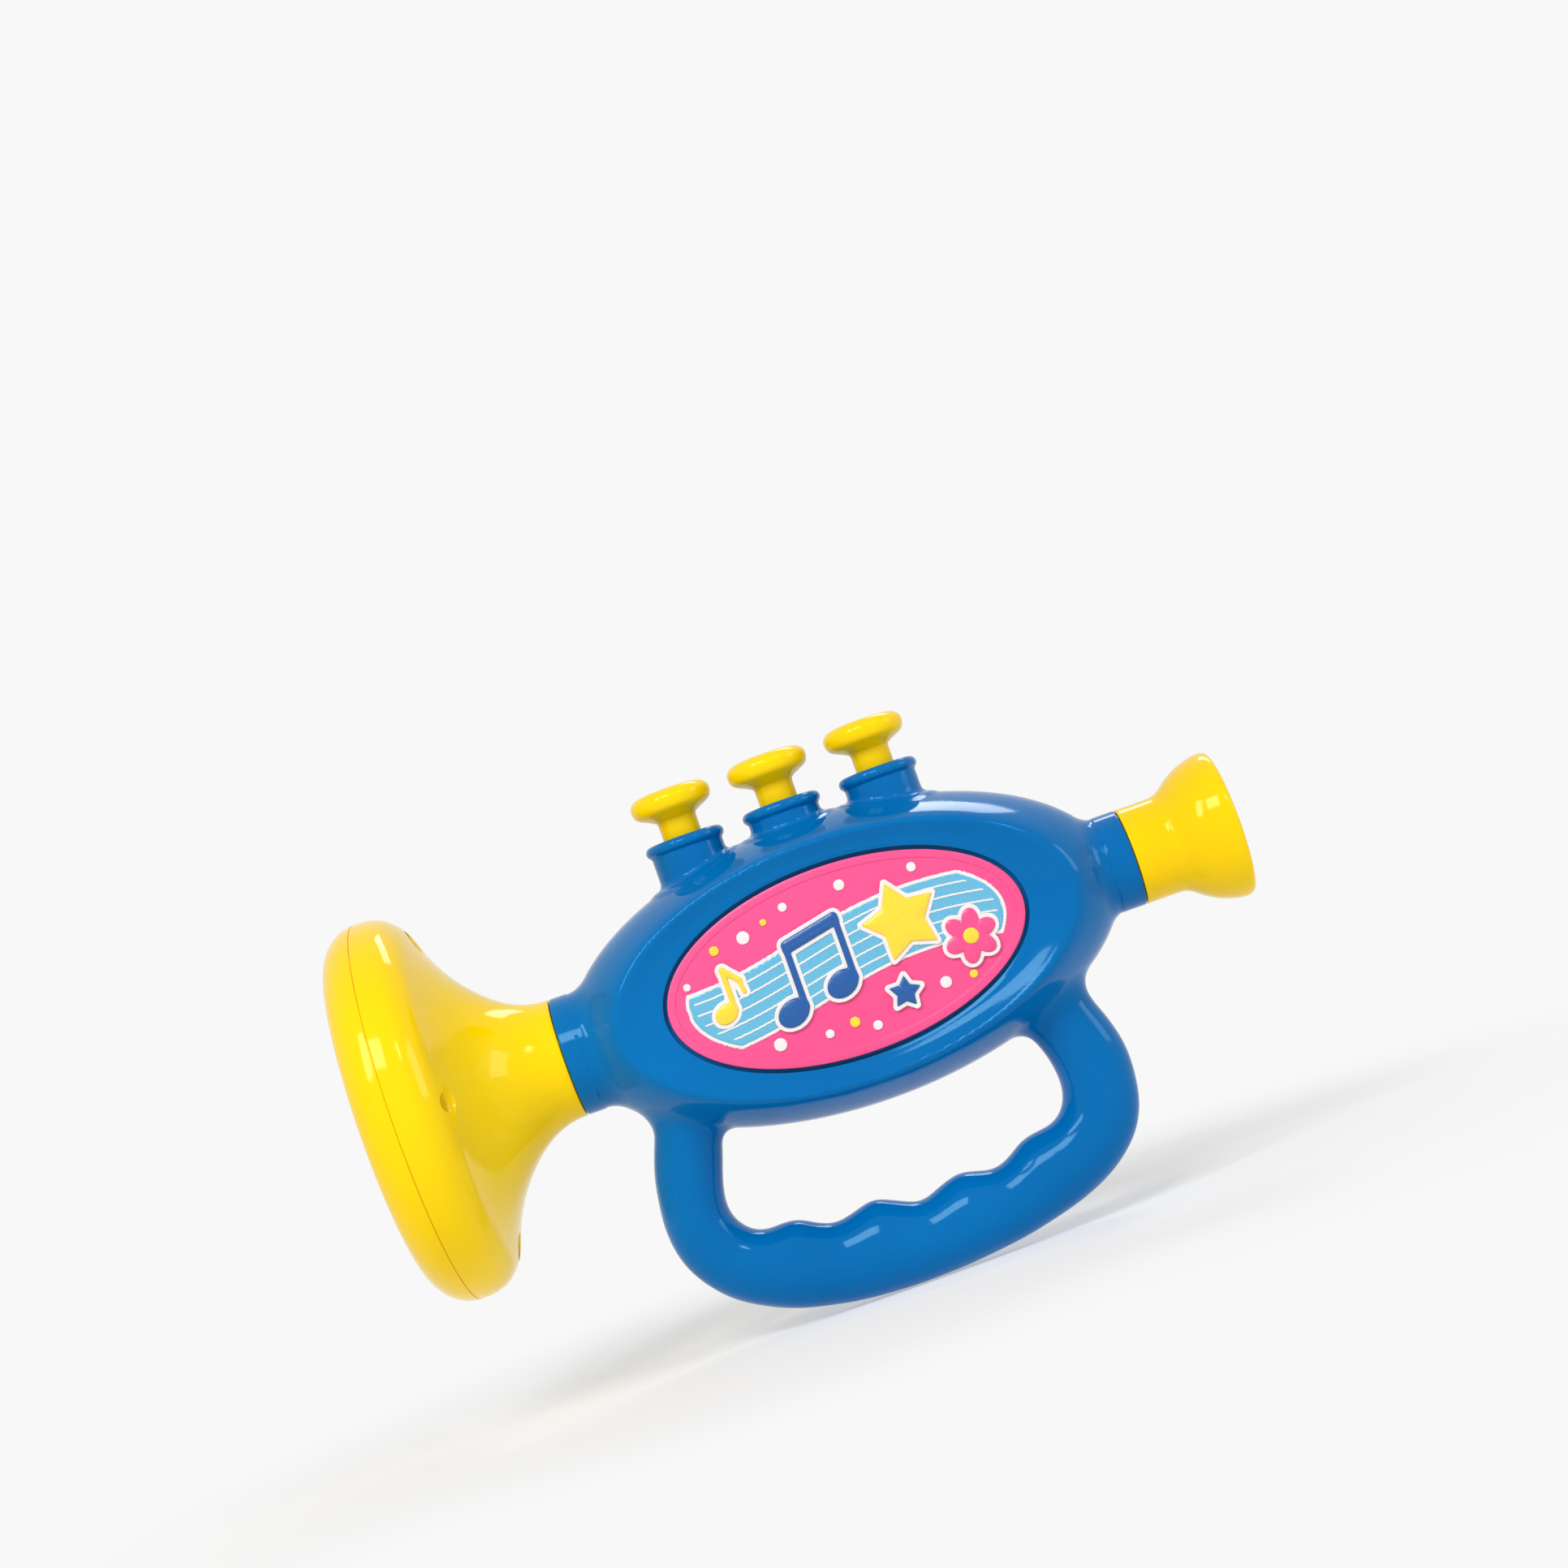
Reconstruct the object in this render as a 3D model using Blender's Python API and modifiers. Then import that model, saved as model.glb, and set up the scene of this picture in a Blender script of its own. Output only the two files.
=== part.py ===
import math

import bmesh
import bpy
import numpy as np
from mathutils import Matrix, Vector

# Toy trumpet: bell towards -X, mouthpiece towards +X, valve buttons up +Z, panel towards -Y
# The two body shells meet at the plane Y = 0, and lengths are in metres
MM = 0.001

# Fits and walls. Cuts run past the faces that they open by the overrun
FIT_GAP = 0.3 * MM
WALL = 2.0 * MM
OVERRUN = 6.0 * MM
WELD = 0.001 * MM
SMOOTH_ANGLE = math.radians(32)

# Oval body
POD_HALF_LENGTH = 83.0 * MM
POD_HALF_HEIGHT = 42.5 * MM
POD_FRONT_DEPTH = 24.0 * MM
POD_REAR_DEPTH = 24.0 * MM
PANEL_FACE_share = 0.875
# Radius and depth of the front: wall, soft ridge, then the dished frame round the panel
POD_FRONT_shares = (
    (1.0, 0.0),
    (0.985, 0.25),
    (0.945, 0.51),
    (0.890, 0.78),
    (0.845, 0.95),
    (0.807, 1.0),
    (0.765, 0.965),
    (0.715, 0.905),
    (0.640, PANEL_FACE_share),
    (0.0, PANEL_FACE_share),
)
# Radius and depth of the plain rear
POD_REAR_shares = (
    (0.0, 1.0),
    (0.55, 1.0),
    (0.74, 0.975),
    (0.835, 0.90),
    (0.900, 0.76),
    (0.950, 0.51),
    (0.987, 0.25),
)
# Radius and depth inside the front, from the parting plane to the groove behind the ridge
POD_INSIDE_shares = (
    (1.0, 0.0),
    (0.985, 0.25),
    (0.945, 0.51),
    (0.890, 0.78),
    (0.835, 0.96),
    (0.785, 0.94),
)

# Oval panel in its recess
RECESS_LENGTH_share = 0.652
RECESS_HEIGHT_share = 0.666
PANEL_GAP = 0.9 * MM
PANEL_THICKNESS = 2.4 * MM
PANEL_BAND = 2.6 * MM
PANEL_STEP = 0.4 * MM
PANEL_POST_RADIUS = 2.0 * MM
PANEL_POST_LENGTH = 1.5 * MM
PANEL_POST_share = 0.40

# Necks at both ends of the body
BELL_NECK_RADIUS = 17.6 * MM
BELL_NECK_REACH = 1.8 * MM
BELL_BAND = 5.3 * MM
MOUTH_NECK_RADIUS = 14.4 * MM
MOUTH_NECK_REACH = 4.5 * MM
MOUTH_BAND = 7.3 * MM
NECK_FILLET = 5.2 * MM
NECK_FILLET_shares = ((0.33, 0.06), (0.67, 0.28), (1.0, 0.56))
SPIGOT_LENGTH = 9.5 * MM

# Bell
BELL_LENGTH = 56.9 * MM
BELL_RADIUS = 57.0 * MM
BELL_SEAM_share = 0.812
# Distance from the neck and radius above the neck, each as a share
FLARE_shares = (
    (0.0, 0.0),
    (0.091, 0.015),
    (0.184, 0.063),
    (0.250, 0.122),
    (0.308, 0.190),
    (0.391, 0.317),
    (0.455, 0.443),
    (0.505, 0.570),
    (0.543, 0.696),
    (0.576, 0.823),
    (0.619, 0.906),
    (0.671, 0.965),
    (0.742, 0.995),
)
# Distance from the neck as a share of the length, radius above the horn's tail as a share
RIM_shares = (
    (0.872, 0.983),
    (0.925, 0.945),
    (0.966, 0.893),
    (0.991, 0.838),
    (1.0, 0.806),
    (1.0, 0.737),
    (0.988, 0.694),
    (0.953, 0.645),
    (0.890, 0.579),
    (0.790, 0.478),
    (0.650, 0.354),
    (0.480, 0.224),
    (0.300, 0.113),
    (0.160, 0.041),
)
HORN_TAIL_share = 0.06
LIP_LENGTH = 3.6 * MM
LIP_THICKNESS = 1.6 * MM
BELL_SCREWS = 4
BELL_SCREW_RING_share = 0.833
BELL_SCREW_SEAT_share = 0.675

# Mouthpiece
MOUTH_LENGTH = 30.8 * MM
MOUTH_RADIUS = 21.9 * MM
MOUTH_BORE = 4.6 * MM
# Distance from the neck as a share of the length, radius above the neck as a share
CUP_OUTSIDE_shares = (
    (0.37, 0.0),
    (0.44, 0.09),
    (0.50, 0.30),
    (0.57, 0.50),
    (0.67, 0.73),
    (0.80, 0.92),
    (0.92, 1.0),
    (0.975, 0.96),
    (1.0, 0.86),
)
# Distance from the neck as a share of the length, radius as a share of the rim's
CUP_INSIDE_shares = (
    (1.0, 0.885),
    (0.965, 0.83),
    (0.84, 0.745),
    (0.70, 0.60),
    (0.57, 0.41),
    (0.46, 0.26),
)
CUP_THROAT_share = 0.36
CUP_BORE_share = 0.21

# Loop handle
FINGER_GAP = 30.2 * MM
GRIP_THICKNESS = 22.5 * MM
GRIP_DEPTH = 20.4 * MM
# Inner edge then outer edge, each as X over the body's half length and drop over the reach
GRIP_shares = (
    (-0.545, 0.210, -0.740, 0.130),
    (-0.590, 0.294, -0.813, 0.231),
    (-0.605, 0.357, -0.831, 0.305),
    (-0.624, 0.420, -0.855, 0.362),
    (-0.645, 0.473, -0.880, 0.431),
    (-0.663, 0.525, -0.896, 0.509),
    (-0.672, 0.578, -0.904, 0.588),
    (-0.665, 0.618, -0.895, 0.667),
    (-0.646, 0.649, -0.870, 0.731),
    (-0.614, 0.674, -0.822, 0.797),
    (-0.572, 0.689, -0.751, 0.860),
    (-0.506, 0.690, -0.651, 0.913),
    (-0.452, 0.700, -0.548, 0.950),
    (-0.398, 0.724, -0.470, 0.967),
    (-0.337, 0.741, -0.386, 0.982),
    (-0.265, 0.731, -0.301, 0.992),
    (-0.193, 0.716, -0.217, 0.997),
    (-0.114, 0.738, -0.133, 1.0),
    (-0.036, 0.764, -0.048, 0.999),
    (0.042, 0.747, 0.042, 0.996),
    (0.120, 0.728, 0.133, 0.989),
    (0.181, 0.737, 0.205, 0.982),
    (0.241, 0.747, 0.277, 0.973),
    (0.307, 0.730, 0.361, 0.958),
    (0.361, 0.701, 0.440, 0.941),
    (0.422, 0.688, 0.524, 0.918),
    (0.476, 0.681, 0.614, 0.883),
    (0.518, 0.660, 0.693, 0.836),
    (0.546, 0.626, 0.755, 0.779),
    (0.559, 0.583, 0.796, 0.709),
    (0.557, 0.530, 0.817, 0.615),
    (0.543, 0.473, 0.817, 0.525),
    (0.519, 0.420, 0.795, 0.441),
    (0.494, 0.368, 0.765, 0.368),
    (0.470, 0.294, 0.741, 0.284),
    (0.430, 0.210, 0.670, 0.150),
)
GRIP_SIDES = 12
GRIP_INSIDE_SIDES = 8
GRIP_BOSS_STATIONS = (9, 18, 28)

# Valves
VALVE_PITCH = 29.7 * MM
VALVE_MIDDLE_share = -0.034
STEM_RADIUS = 5.75 * MM
STEM_CLEARANCE = 0.4 * MM
CAP_RADIUS = 12.05 * MM
CAP_HEIGHT = 8.9 * MM
CAP_LIFT = 5.7 * MM
STROKE = 5.0 * MM
COLLAR_RADIUS = 11.0 * MM
COLLAR_HEIGHT = 6.7 * MM
COLLAR_LIP = 0.8 * MM
COLLAR_LIP_HEIGHT = 4.2 * MM
# Radius over the stem as a share of the cap's overhang, height as a share of the cap's
CAP_shares = (
    (0.40, 0.985),
    (0.72, 0.90),
    (0.90, 0.79),
    (0.98, 0.67),
    (1.0, 0.56),
    (0.95, 0.44),
    (0.73, 0.32),
    (0.39, 0.20),
    (0.14, 0.10),
    (0.02, 0.0),
)
# Height on the rounded lip as a share of its height, radius over the collar as a share of its bulge
LIP_shares = (
    (1.0, -1.6),
    (0.93, -0.1),
    (0.78, 0.75),
    (0.55, 1.0),
    (0.30, 0.90),
    (0.10, 0.40),
    (0.0, 0.0),
)
GUIDE_THICKNESS = 2.0 * MM
FLANGE_THICKNESS = 2.0 * MM
FLANGE_OVERHANG = 2.8 * MM
ROD_RADIUS = 1.6 * MM
KNOB_RADIUS = 2.6 * MM
KNOB_HEIGHT = 1.2 * MM
PAD_THICKNESS = 2.0 * MM
PAD_OVERHANG = 1.8 * MM
CELL_CLEARANCE = 1.8 * MM
SPRING_WIRE = 0.45 * MM
SPRING_INSET = 0.75 * MM
SPRING_TURNS = 4
SPRING_STEPS = 9

# Wind chamber with its reeds
CHAMBER_HALF_DEPTH = 10.0 * MM
CHAMBER_WALL = 1.8 * MM
WIND_HALF_HEIGHT = 5.0 * MM
LEDGE = 1.5 * MM
REED_PLATE_THICKNESS = 1.4 * MM
LID_THICKNESS = 2.0 * MM
TUBE_WALL = 1.4 * MM
TUBE_BORE = 3.2 * MM
TUBE_FLANGE = 2.0 * MM
REED_LENGTH = 16.0 * MM
REED_WIDTH = 2.6 * MM
REED_FOOT = 4.0 * MM
REED_THICKNESS = 0.35 * MM
CRADLE_WIDTH = 2.0 * MM
CRADLE_FOOT = 5.0 * MM
CRADLE_share = 0.75

# Screws
BOSS_RADIUS = 3.8 * MM
SCREW_RADIUS = 1.4 * MM
SCREW_HEAD_RADIUS = 2.6 * MM
SCREW_HEAD_HEIGHT = 1.8 * MM
SCREW_CROWN_share = 0.7
SCREW_SLOT_share = 0.6
SCREW_LENGTH = 11.0 * MM
PILOT_CLEARANCE = 0.35 * MM
POD_BOSS_GAP = 6.0 * MM
POD_BOSS_Z_share = 0.38
POD_SEAT_share = 0.32
GRIP_SEAT_share = 0.45
SLOT_WIDTH = 0.7 * MM
SLOT_DEPTH = 0.8 * MM

# Facets
POD_STEPS = 44
BELL_STEPS = 32
NECK_STEPS = 24
VALVE_STEPS = 16
SMALL_STEPS = 10

# Sizes that follow from those above
POD_ASPECT = POD_HALF_LENGTH / POD_HALF_HEIGHT
REACH = POD_HALF_HEIGHT + FINGER_GAP + GRIP_THICKNESS
BELL_SEAM_X = -(POD_HALF_LENGTH + BELL_NECK_REACH)
BELL_FRONT_X = BELL_SEAM_X - BELL_LENGTH
MOUTH_SEAM_X = POD_HALF_LENGTH + MOUTH_NECK_REACH
MOUTH_FACE_X = MOUTH_SEAM_X + MOUTH_LENGTH
COLLAR_TOP_Z = POD_HALF_HEIGHT + COLLAR_HEIGHT
CAP_FOOT_Z = COLLAR_TOP_Z + CAP_LIFT
CAP_TOP_Z = CAP_FOOT_Z + CAP_HEIGHT
VALVE_MIDDLE_X = POD_HALF_LENGTH * VALVE_MIDDLE_share
VALVE_X = tuple(VALVE_MIDDLE_X + VALVE_PITCH * k for k in (-1, 0, 1))
STEM_HOLE = STEM_RADIUS + STEM_CLEARANCE
PANEL_FACE = POD_FRONT_DEPTH * PANEL_FACE_share
RECESS_FLOOR = PANEL_FACE - PANEL_THICKNESS - FIT_GAP
RECESS_HALF_LENGTH = POD_HALF_LENGTH * RECESS_LENGTH_share
RECESS_HALF_HEIGHT = POD_HALF_HEIGHT * RECESS_HEIGHT_share
PLATE_TOP_Z = WIND_HALF_HEIGHT + FIT_GAP + REED_PLATE_THICKNESS
CHAMBER_TOP_Z = PLATE_TOP_Z + STROKE + PAD_THICKNESS + KNOB_HEIGHT + CELL_CLEARANCE
LID_UNDER_Z = CHAMBER_TOP_Z + FIT_GAP
LID_TOP_Z = LID_UNDER_Z + LID_THICKNESS
CHAMBER_HALF_LENGTH = VALVE_PITCH * 1.5
CHAMBER_FLOOR_Z = -(WIND_HALF_HEIGHT + CHAMBER_WALL)
PORT_RADIUS = KNOB_RADIUS + 2 * STEM_CLEARANCE
GUIDE_Z = LID_TOP_Z + 2 * STROKE + 2 * FLANGE_THICKNESS
FLANGE_TOP_Z = GUIDE_Z - FIT_GAP
FLANGE_UNDER_Z = FLANGE_TOP_Z - FLANGE_THICKNESS
PILOT_RADIUS = SCREW_RADIUS + PILOT_CLEARANCE
COUNTERBORE_RADIUS = SCREW_HEAD_RADIUS + FIT_GAP

# Colours
BLUE = (0.0, 0.14, 0.46, 1.0)
YELLOW = (0.95, 0.70, 0.01, 1.0)
PINK = (0.95, 0.12, 0.33, 1.0)
WHITE = (0.85, 0.85, 0.82, 1.0)
BRASS = (0.72, 0.48, 0.16, 1.0)
STEEL = (0.60, 0.61, 0.63, 1.0)
RUBBER = (0.04, 0.04, 0.045, 1.0)


def clear_scene():
    for obj in list(bpy.data.objects):
        bpy.data.objects.remove(obj)


def group(name, hidden):
    made = bpy.data.collections.new(name)
    bpy.context.scene.collection.children.link(made)
    made.hide_render = hidden
    return made


def placed(name, mesh):
    """An object for a mesh that is still being shaped."""
    made = bpy.data.objects.new(name, mesh)
    work.objects.link(made)
    made.hide_render = True
    made.display_type = "WIRE"
    return made


def baked(obj, facing_out=False):
    """The object's modifiers made part of its mesh, and its faces turned outwards if asked."""
    graph = bpy.context.evaluated_depsgraph_get()
    mesh = bpy.data.meshes.new_from_object(obj.evaluated_get(graph))
    shape = bmesh.new()
    shape.from_mesh(mesh)
    bmesh.ops.remove_doubles(shape, verts=shape.verts, dist=WELD)
    if facing_out:
        bmesh.ops.recalc_face_normals(shape, faces=shape.faces)
    shape.to_mesh(mesh)
    shape.free()
    name = obj.name
    world = obj.matrix_world.copy()
    bpy.data.objects.remove(obj)
    made = placed(name, mesh)
    made.matrix_world = world
    return made


def turned(name, profile, steps, closed=False):
    """A profile of (radius, height) turned about Z."""
    count = len(profile)
    edges = [(k, k + 1) for k in range(count - 1)] + ([(count - 1, 0)] if closed else [])
    mesh = bpy.data.meshes.new(name)
    mesh.from_pydata([(radius, 0, height) for radius, height in profile], edges, [])
    made = placed(name, mesh)
    screw = made.modifiers.new("turn", "SCREW")
    screw.steps = steps
    screw.render_steps = steps
    screw.use_merge_vertices = True
    screw.merge_threshold = WELD
    return baked(made, facing_out=True)


def along_x(obj):
    """Turns a shape made about Z so that its heights run along X."""
    obj.data.transform(Matrix.Rotation(math.pi / 2, 4, "Y"))
    return obj


def along_y(obj):
    """Turns a shape made about Z so that its heights run along Y."""
    obj.data.transform(Matrix.Rotation(-math.pi / 2, 4, "X"))
    return obj


def moved(obj, x=0.0, y=0.0, z=0.0):
    obj.data.transform(Matrix.Translation((x, y, z)))
    return obj


def box(name, low, high):
    """A block between two corners."""
    shape = bmesh.new()
    bmesh.ops.create_cube(shape, size=1.0)
    low, high = Vector(low), Vector(high)
    bmesh.ops.scale(shape, vec=high - low, verts=shape.verts)
    bmesh.ops.translate(shape, vec=(low + high) / 2, verts=shape.verts)
    mesh = bpy.data.meshes.new(name)
    shape.to_mesh(mesh)
    shape.free()
    return placed(name, mesh)


def rod(name, radius, low, high, steps=None):
    """A round bar about Z between two heights."""
    shape = bmesh.new()
    bmesh.ops.create_cone(
        shape,
        cap_ends=True,
        segments=steps or SMALL_STEPS,
        radius1=radius,
        radius2=radius,
        depth=high - low,
    )
    bmesh.ops.translate(shape, vec=(0, 0, (low + high) / 2), verts=shape.verts)
    mesh = bpy.data.meshes.new(name)
    shape.to_mesh(mesh)
    shape.free()
    return placed(name, mesh)


def combined(target, others, operation):
    """Joins or cuts one shape with others, and takes those away."""
    for other in others:
        change = target.modifiers.new(operation.lower(), "BOOLEAN")
        change.operation = operation
        change.solver = "EXACT"
        change.object = other
        target = baked(target)
        bpy.data.objects.remove(other)
    return target


def cut(target, *others):
    return combined(target, others, "DIFFERENCE")


def joined(target, *others):
    return combined(target, others, "UNION")


def common(target, other):
    return combined(target, (other,), "INTERSECT")


def offset_line(points, distance):
    """The line a set distance to the left of a line of (radius, height) points."""
    line = np.array(points, float)
    step = np.gradient(line, axis=0)
    step /= np.linalg.norm(step, axis=1)[:, None]
    return [tuple(point) for point in line + distance * np.column_stack([-step[:, 1], step[:, 0]])]


def coarse(points):
    """Every second point, with the last one kept: enough for a surface that is out of sight."""
    return points[:-1:2] + points[-1:]


def oval(name, half_length, half_height, low, high, steps):
    """An oval plate whose thickness runs along Y between two depths."""
    made = rod(name, 1, low, high, steps)
    made.data.transform(Matrix.Diagonal((half_length, half_height, 1, 1)))
    made.data.transform(Matrix.Rotation(math.pi / 2, 4, "X"))
    return made


def finish(obj, name, colour, roughness, metallic=0.0, parent=None, round_piece=True):
    """Makes a shape a node with its own material, smooth where it is round."""
    obj.name = name
    obj.data.name = name
    work.objects.unlink(obj)
    parts.objects.link(obj)
    obj.hide_render = False
    obj.display_type = "TEXTURED"
    material = bpy.data.materials.new(name)
    material.use_nodes = True
    surface = material.node_tree.nodes["Principled BSDF"]
    surface.inputs["Base Color"].default_value = colour
    surface.inputs["Roughness"].default_value = roughness
    surface.inputs["Metallic"].default_value = metallic
    obj.data.materials.clear()
    obj.data.materials.append(material)
    if round_piece:
        obj.data.polygons.foreach_set("use_smooth", [True] * len(obj.data.polygons))
        obj.data.set_sharp_from_angle(angle=SMOOTH_ANGLE)
    obj.parent = parent or trumpet
    return obj


def grip_points():
    """The inner and the outer edge of the handle at each station, in X and Z."""
    for inner_x, inner_drop, outer_x, outer_drop in GRIP_shares:
        inner = Vector((inner_x * POD_HALF_LENGTH, 0, -inner_drop * REACH))
        outer = Vector((outer_x * POD_HALF_LENGTH, 0, -outer_drop * REACH))
        yield inner, outer


def grip(name, inset, sides, stations):
    """The handle as a loft of upright oval sections, or its hollow when inset by the wall."""
    shape = bmesh.new()
    rings = []
    for inner, outer in stations:
        middle = (inner + outer) / 2
        across = (outer - inner) / 2
        wide = across.normalized() * (across.length - inset)
        deep = Vector((0, GRIP_DEPTH / 2 - inset, 0))
        ring = []
        for k in range(sides):
            angle = 2 * math.pi * k / sides
            ring.append(shape.verts.new(middle + wide * math.cos(angle) + deep * math.sin(angle)))
        rings.append(ring)
    for ring, other in zip(rings, rings[1:]):
        for k in range(sides):
            after = (k + 1) % sides
            shape.faces.new((ring[k], ring[after], other[after], other[k]))
    shape.faces.new(rings[0])
    shape.faces.new(reversed(rings[-1]))
    bmesh.ops.triangulate(shape, faces=shape.faces, quad_method="FIXED")
    bmesh.ops.recalc_face_normals(shape, faces=shape.faces)
    mesh = bpy.data.meshes.new(name)
    shape.to_mesh(mesh)
    shape.free()
    return placed(name, mesh)


def pod(name, front, rear):
    """A turned oval: depths run along Y, and the length is stretched to the aspect."""
    made = turned(name, [(radius, -depth) for radius, depth in front] + list(rear), POD_STEPS)
    along_y(made)
    made.data.transform(Matrix.Diagonal((POD_ASPECT, 1, 1, 1)))
    return made


def pod_outside():
    front = [(r * POD_HALF_HEIGHT, d * POD_FRONT_DEPTH) for r, d in reversed(POD_FRONT_shares)]
    rear = [(r * POD_HALF_HEIGHT, d * POD_REAR_DEPTH) for r, d in reversed(POD_REAR_shares)]
    return pod("pod_outside", front, rear)


def pod_inside():
    height = POD_HALF_HEIGHT - WALL
    front = [(0, RECESS_FLOOR - WALL), (RECESS_HALF_HEIGHT + WALL, RECESS_FLOOR - WALL)]
    for r, d in reversed(POD_INSIDE_shares):
        front.append((r * height, d * (POD_FRONT_DEPTH - WALL)))
    rear = [(r * height, d * (POD_REAR_DEPTH - WALL)) for r, d in reversed(POD_REAR_shares)]
    return pod("pod_inside", front, coarse(rear))


def neck(name, seam, band, radius, toward):
    """A neck with its fillet into the body. toward is +1 for the mouthpiece end, -1 for the bell end."""
    start = seam - toward * band
    profile = [(0, seam), (radius, seam), (radius, start)]
    for along, out in NECK_FILLET_shares:
        profile.append((radius + out * NECK_FILLET, start - toward * along * NECK_FILLET))
    deep = profile[-1][1] - toward * 2 * NECK_FILLET
    profile += [(profile[-1][0], deep), (0, deep)]
    return along_x(turned(name, profile, NECK_STEPS))


def collar(name, x):
    """A valve collar with its rounded lip, solid down into the body."""
    foot = COLLAR_TOP_Z - COLLAR_LIP_HEIGHT
    profile = [(0, COLLAR_TOP_Z)]
    for up, out in LIP_shares:
        profile.append((COLLAR_RADIUS + out * COLLAR_LIP, foot + up * COLLAR_LIP_HEIGHT))
    profile += [(COLLAR_RADIUS, GUIDE_Z), (0, GUIDE_Z)]
    return moved(turned(name, profile, VALVE_STEPS), x)


def boss_places():
    """Middle of each body screw in X and Z, with the depth at which its head sits."""
    left = VALVE_MIDDLE_X - CHAMBER_HALF_LENGTH - POD_BOSS_GAP - BOSS_RADIUS
    right = VALVE_MIDDLE_X + CHAMBER_HALF_LENGTH + POD_BOSS_GAP + BOSS_RADIUS
    z = POD_HALF_HEIGHT * POD_BOSS_Z_share
    places = [(left, z), (left, -z), (right, z), (right, -z)]
    found = [(px, pz, POD_REAR_DEPTH * POD_SEAT_share) for px, pz in places]
    edges = list(grip_points())
    for station in GRIP_BOSS_STATIONS:
        middle = (edges[station][0] + edges[station][1]) / 2
        found.append((middle.x, middle.z, GRIP_DEPTH / 2 * GRIP_SEAT_share))
    return found


def body_hollow():
    """The space inside the two shells, less their ribs and screw bosses."""
    hollow = pod_inside()
    bell_bore = BELL_NECK_RADIUS - WALL
    mouth_bore = MOUTH_NECK_RADIUS - WALL
    deep = 2 * BELL_BAND + 2 * NECK_FILLET
    bores = [
        along_x(rod("bore", bell_bore, BELL_SEAM_X - OVERRUN, BELL_SEAM_X + deep, NECK_STEPS)),
        along_x(rod("bore", mouth_bore, MOUTH_SEAM_X - deep, MOUTH_SEAM_X + OVERRUN, NECK_STEPS)),
        grip("grip_inside", WALL, GRIP_INSIDE_SIDES, coarse(list(grip_points()))),
    ]
    for x in VALVE_X:
        bore = rod("bore", COLLAR_RADIUS - WALL, LID_TOP_Z, COLLAR_TOP_Z - WALL, VALVE_STEPS)
        bores.append(moved(bore, x))
    hollow = joined(hollow, *bores)
    kept = []
    for x in VALVE_X:
        half = COLLAR_RADIUS - WALL / 2
        low = (x - half, -POD_FRONT_DEPTH, GUIDE_Z)
        kept.append(box("guide", low, (x + half, POD_REAR_DEPTH, GUIDE_Z + GUIDE_THICKNESS)))
    for x, z, _ in boss_places():
        boss = along_y(rod("boss", BOSS_RADIUS, -POD_FRONT_DEPTH, POD_REAR_DEPTH))
        kept.append(moved(boss, x, 0, z))
    side = CHAMBER_HALF_DEPTH + FIT_GAP
    shelf = CHAMBER_FLOOR_Z - FIT_GAP
    for toward in (-1, 1):
        x = VALVE_MIDDLE_X + toward * CHAMBER_HALF_LENGTH * CRADLE_share
        left, right = x - CRADLE_WIDTH / 2, x + CRADLE_WIDTH / 2
        low, high = shelf - CRADLE_FOOT, CHAMBER_TOP_Z
        rib = box("rib", (left, -POD_FRONT_DEPTH, low), (right, POD_REAR_DEPTH, high))
        seat = box("seat", (left - WALL, -side, shelf), (right + WALL, side, high + OVERRUN))
        kept.append(cut(rib, seat))
    return cut(hollow, *kept)


def body_holes():
    """What is cut right through the shells: recess, panel posts, stem holes and screw holes."""
    holes = [
        oval(
            "recess",
            RECESS_HALF_LENGTH,
            RECESS_HALF_HEIGHT,
            RECESS_FLOOR,
            POD_FRONT_DEPTH + OVERRUN,
            POD_STEPS,
        )
    ]
    for toward in (-1, 1):
        post = rod("post_hole", PANEL_POST_RADIUS + FIT_GAP, RECESS_FLOOR - OVERRUN, PANEL_FACE)
        post.data.transform(Matrix.Rotation(math.pi / 2, 4, "X"))
        holes.append(moved(post, toward * RECESS_HALF_LENGTH * PANEL_POST_share))
    for x in VALVE_X:
        hole = rod("stem_hole", STEM_HOLE, LID_TOP_Z, COLLAR_TOP_Z + OVERRUN, VALVE_STEPS)
        holes.append(moved(hole, x))
    for x, z, seat in boss_places():
        head = along_y(rod("counterbore", COUNTERBORE_RADIUS, seat, POD_REAR_DEPTH + OVERRUN))
        holes.append(moved(head, x, 0, z))
        tip = seat + FIT_GAP - SCREW_LENGTH - 4 * FIT_GAP
        hole = along_y(rod("pilot", PILOT_RADIUS, tip, seat + OVERRUN))
        holes.append(moved(hole, x, 0, z))
    return holes


def body_shells():
    body = joined(
        pod_outside(),
        neck("neck", BELL_SEAM_X, BELL_BAND, BELL_NECK_RADIUS, -1),
        neck("neck", MOUTH_SEAM_X, MOUTH_BAND, MOUTH_NECK_RADIUS, 1),
        grip("grip_outside", 0.0, GRIP_SIDES, list(grip_points())),
        *[collar("collar", x) for x in VALVE_X],
    )
    body = cut(body, body_hollow(), *body_holes())
    other = placed("rear", body.data.copy())
    far = 2 * (POD_HALF_LENGTH + REACH)
    gap = FIT_GAP / 2
    front = common(body, box("front_half", (-far, -far, -far), (far, -gap, far)))
    rear = common(other, box("rear_half", (-far, gap, -far), (far, far, far)))
    finish(front, "body_shell_front", BLUE, 0.16)
    finish(rear, "body_shell_rear", BLUE, 0.16)


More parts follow.
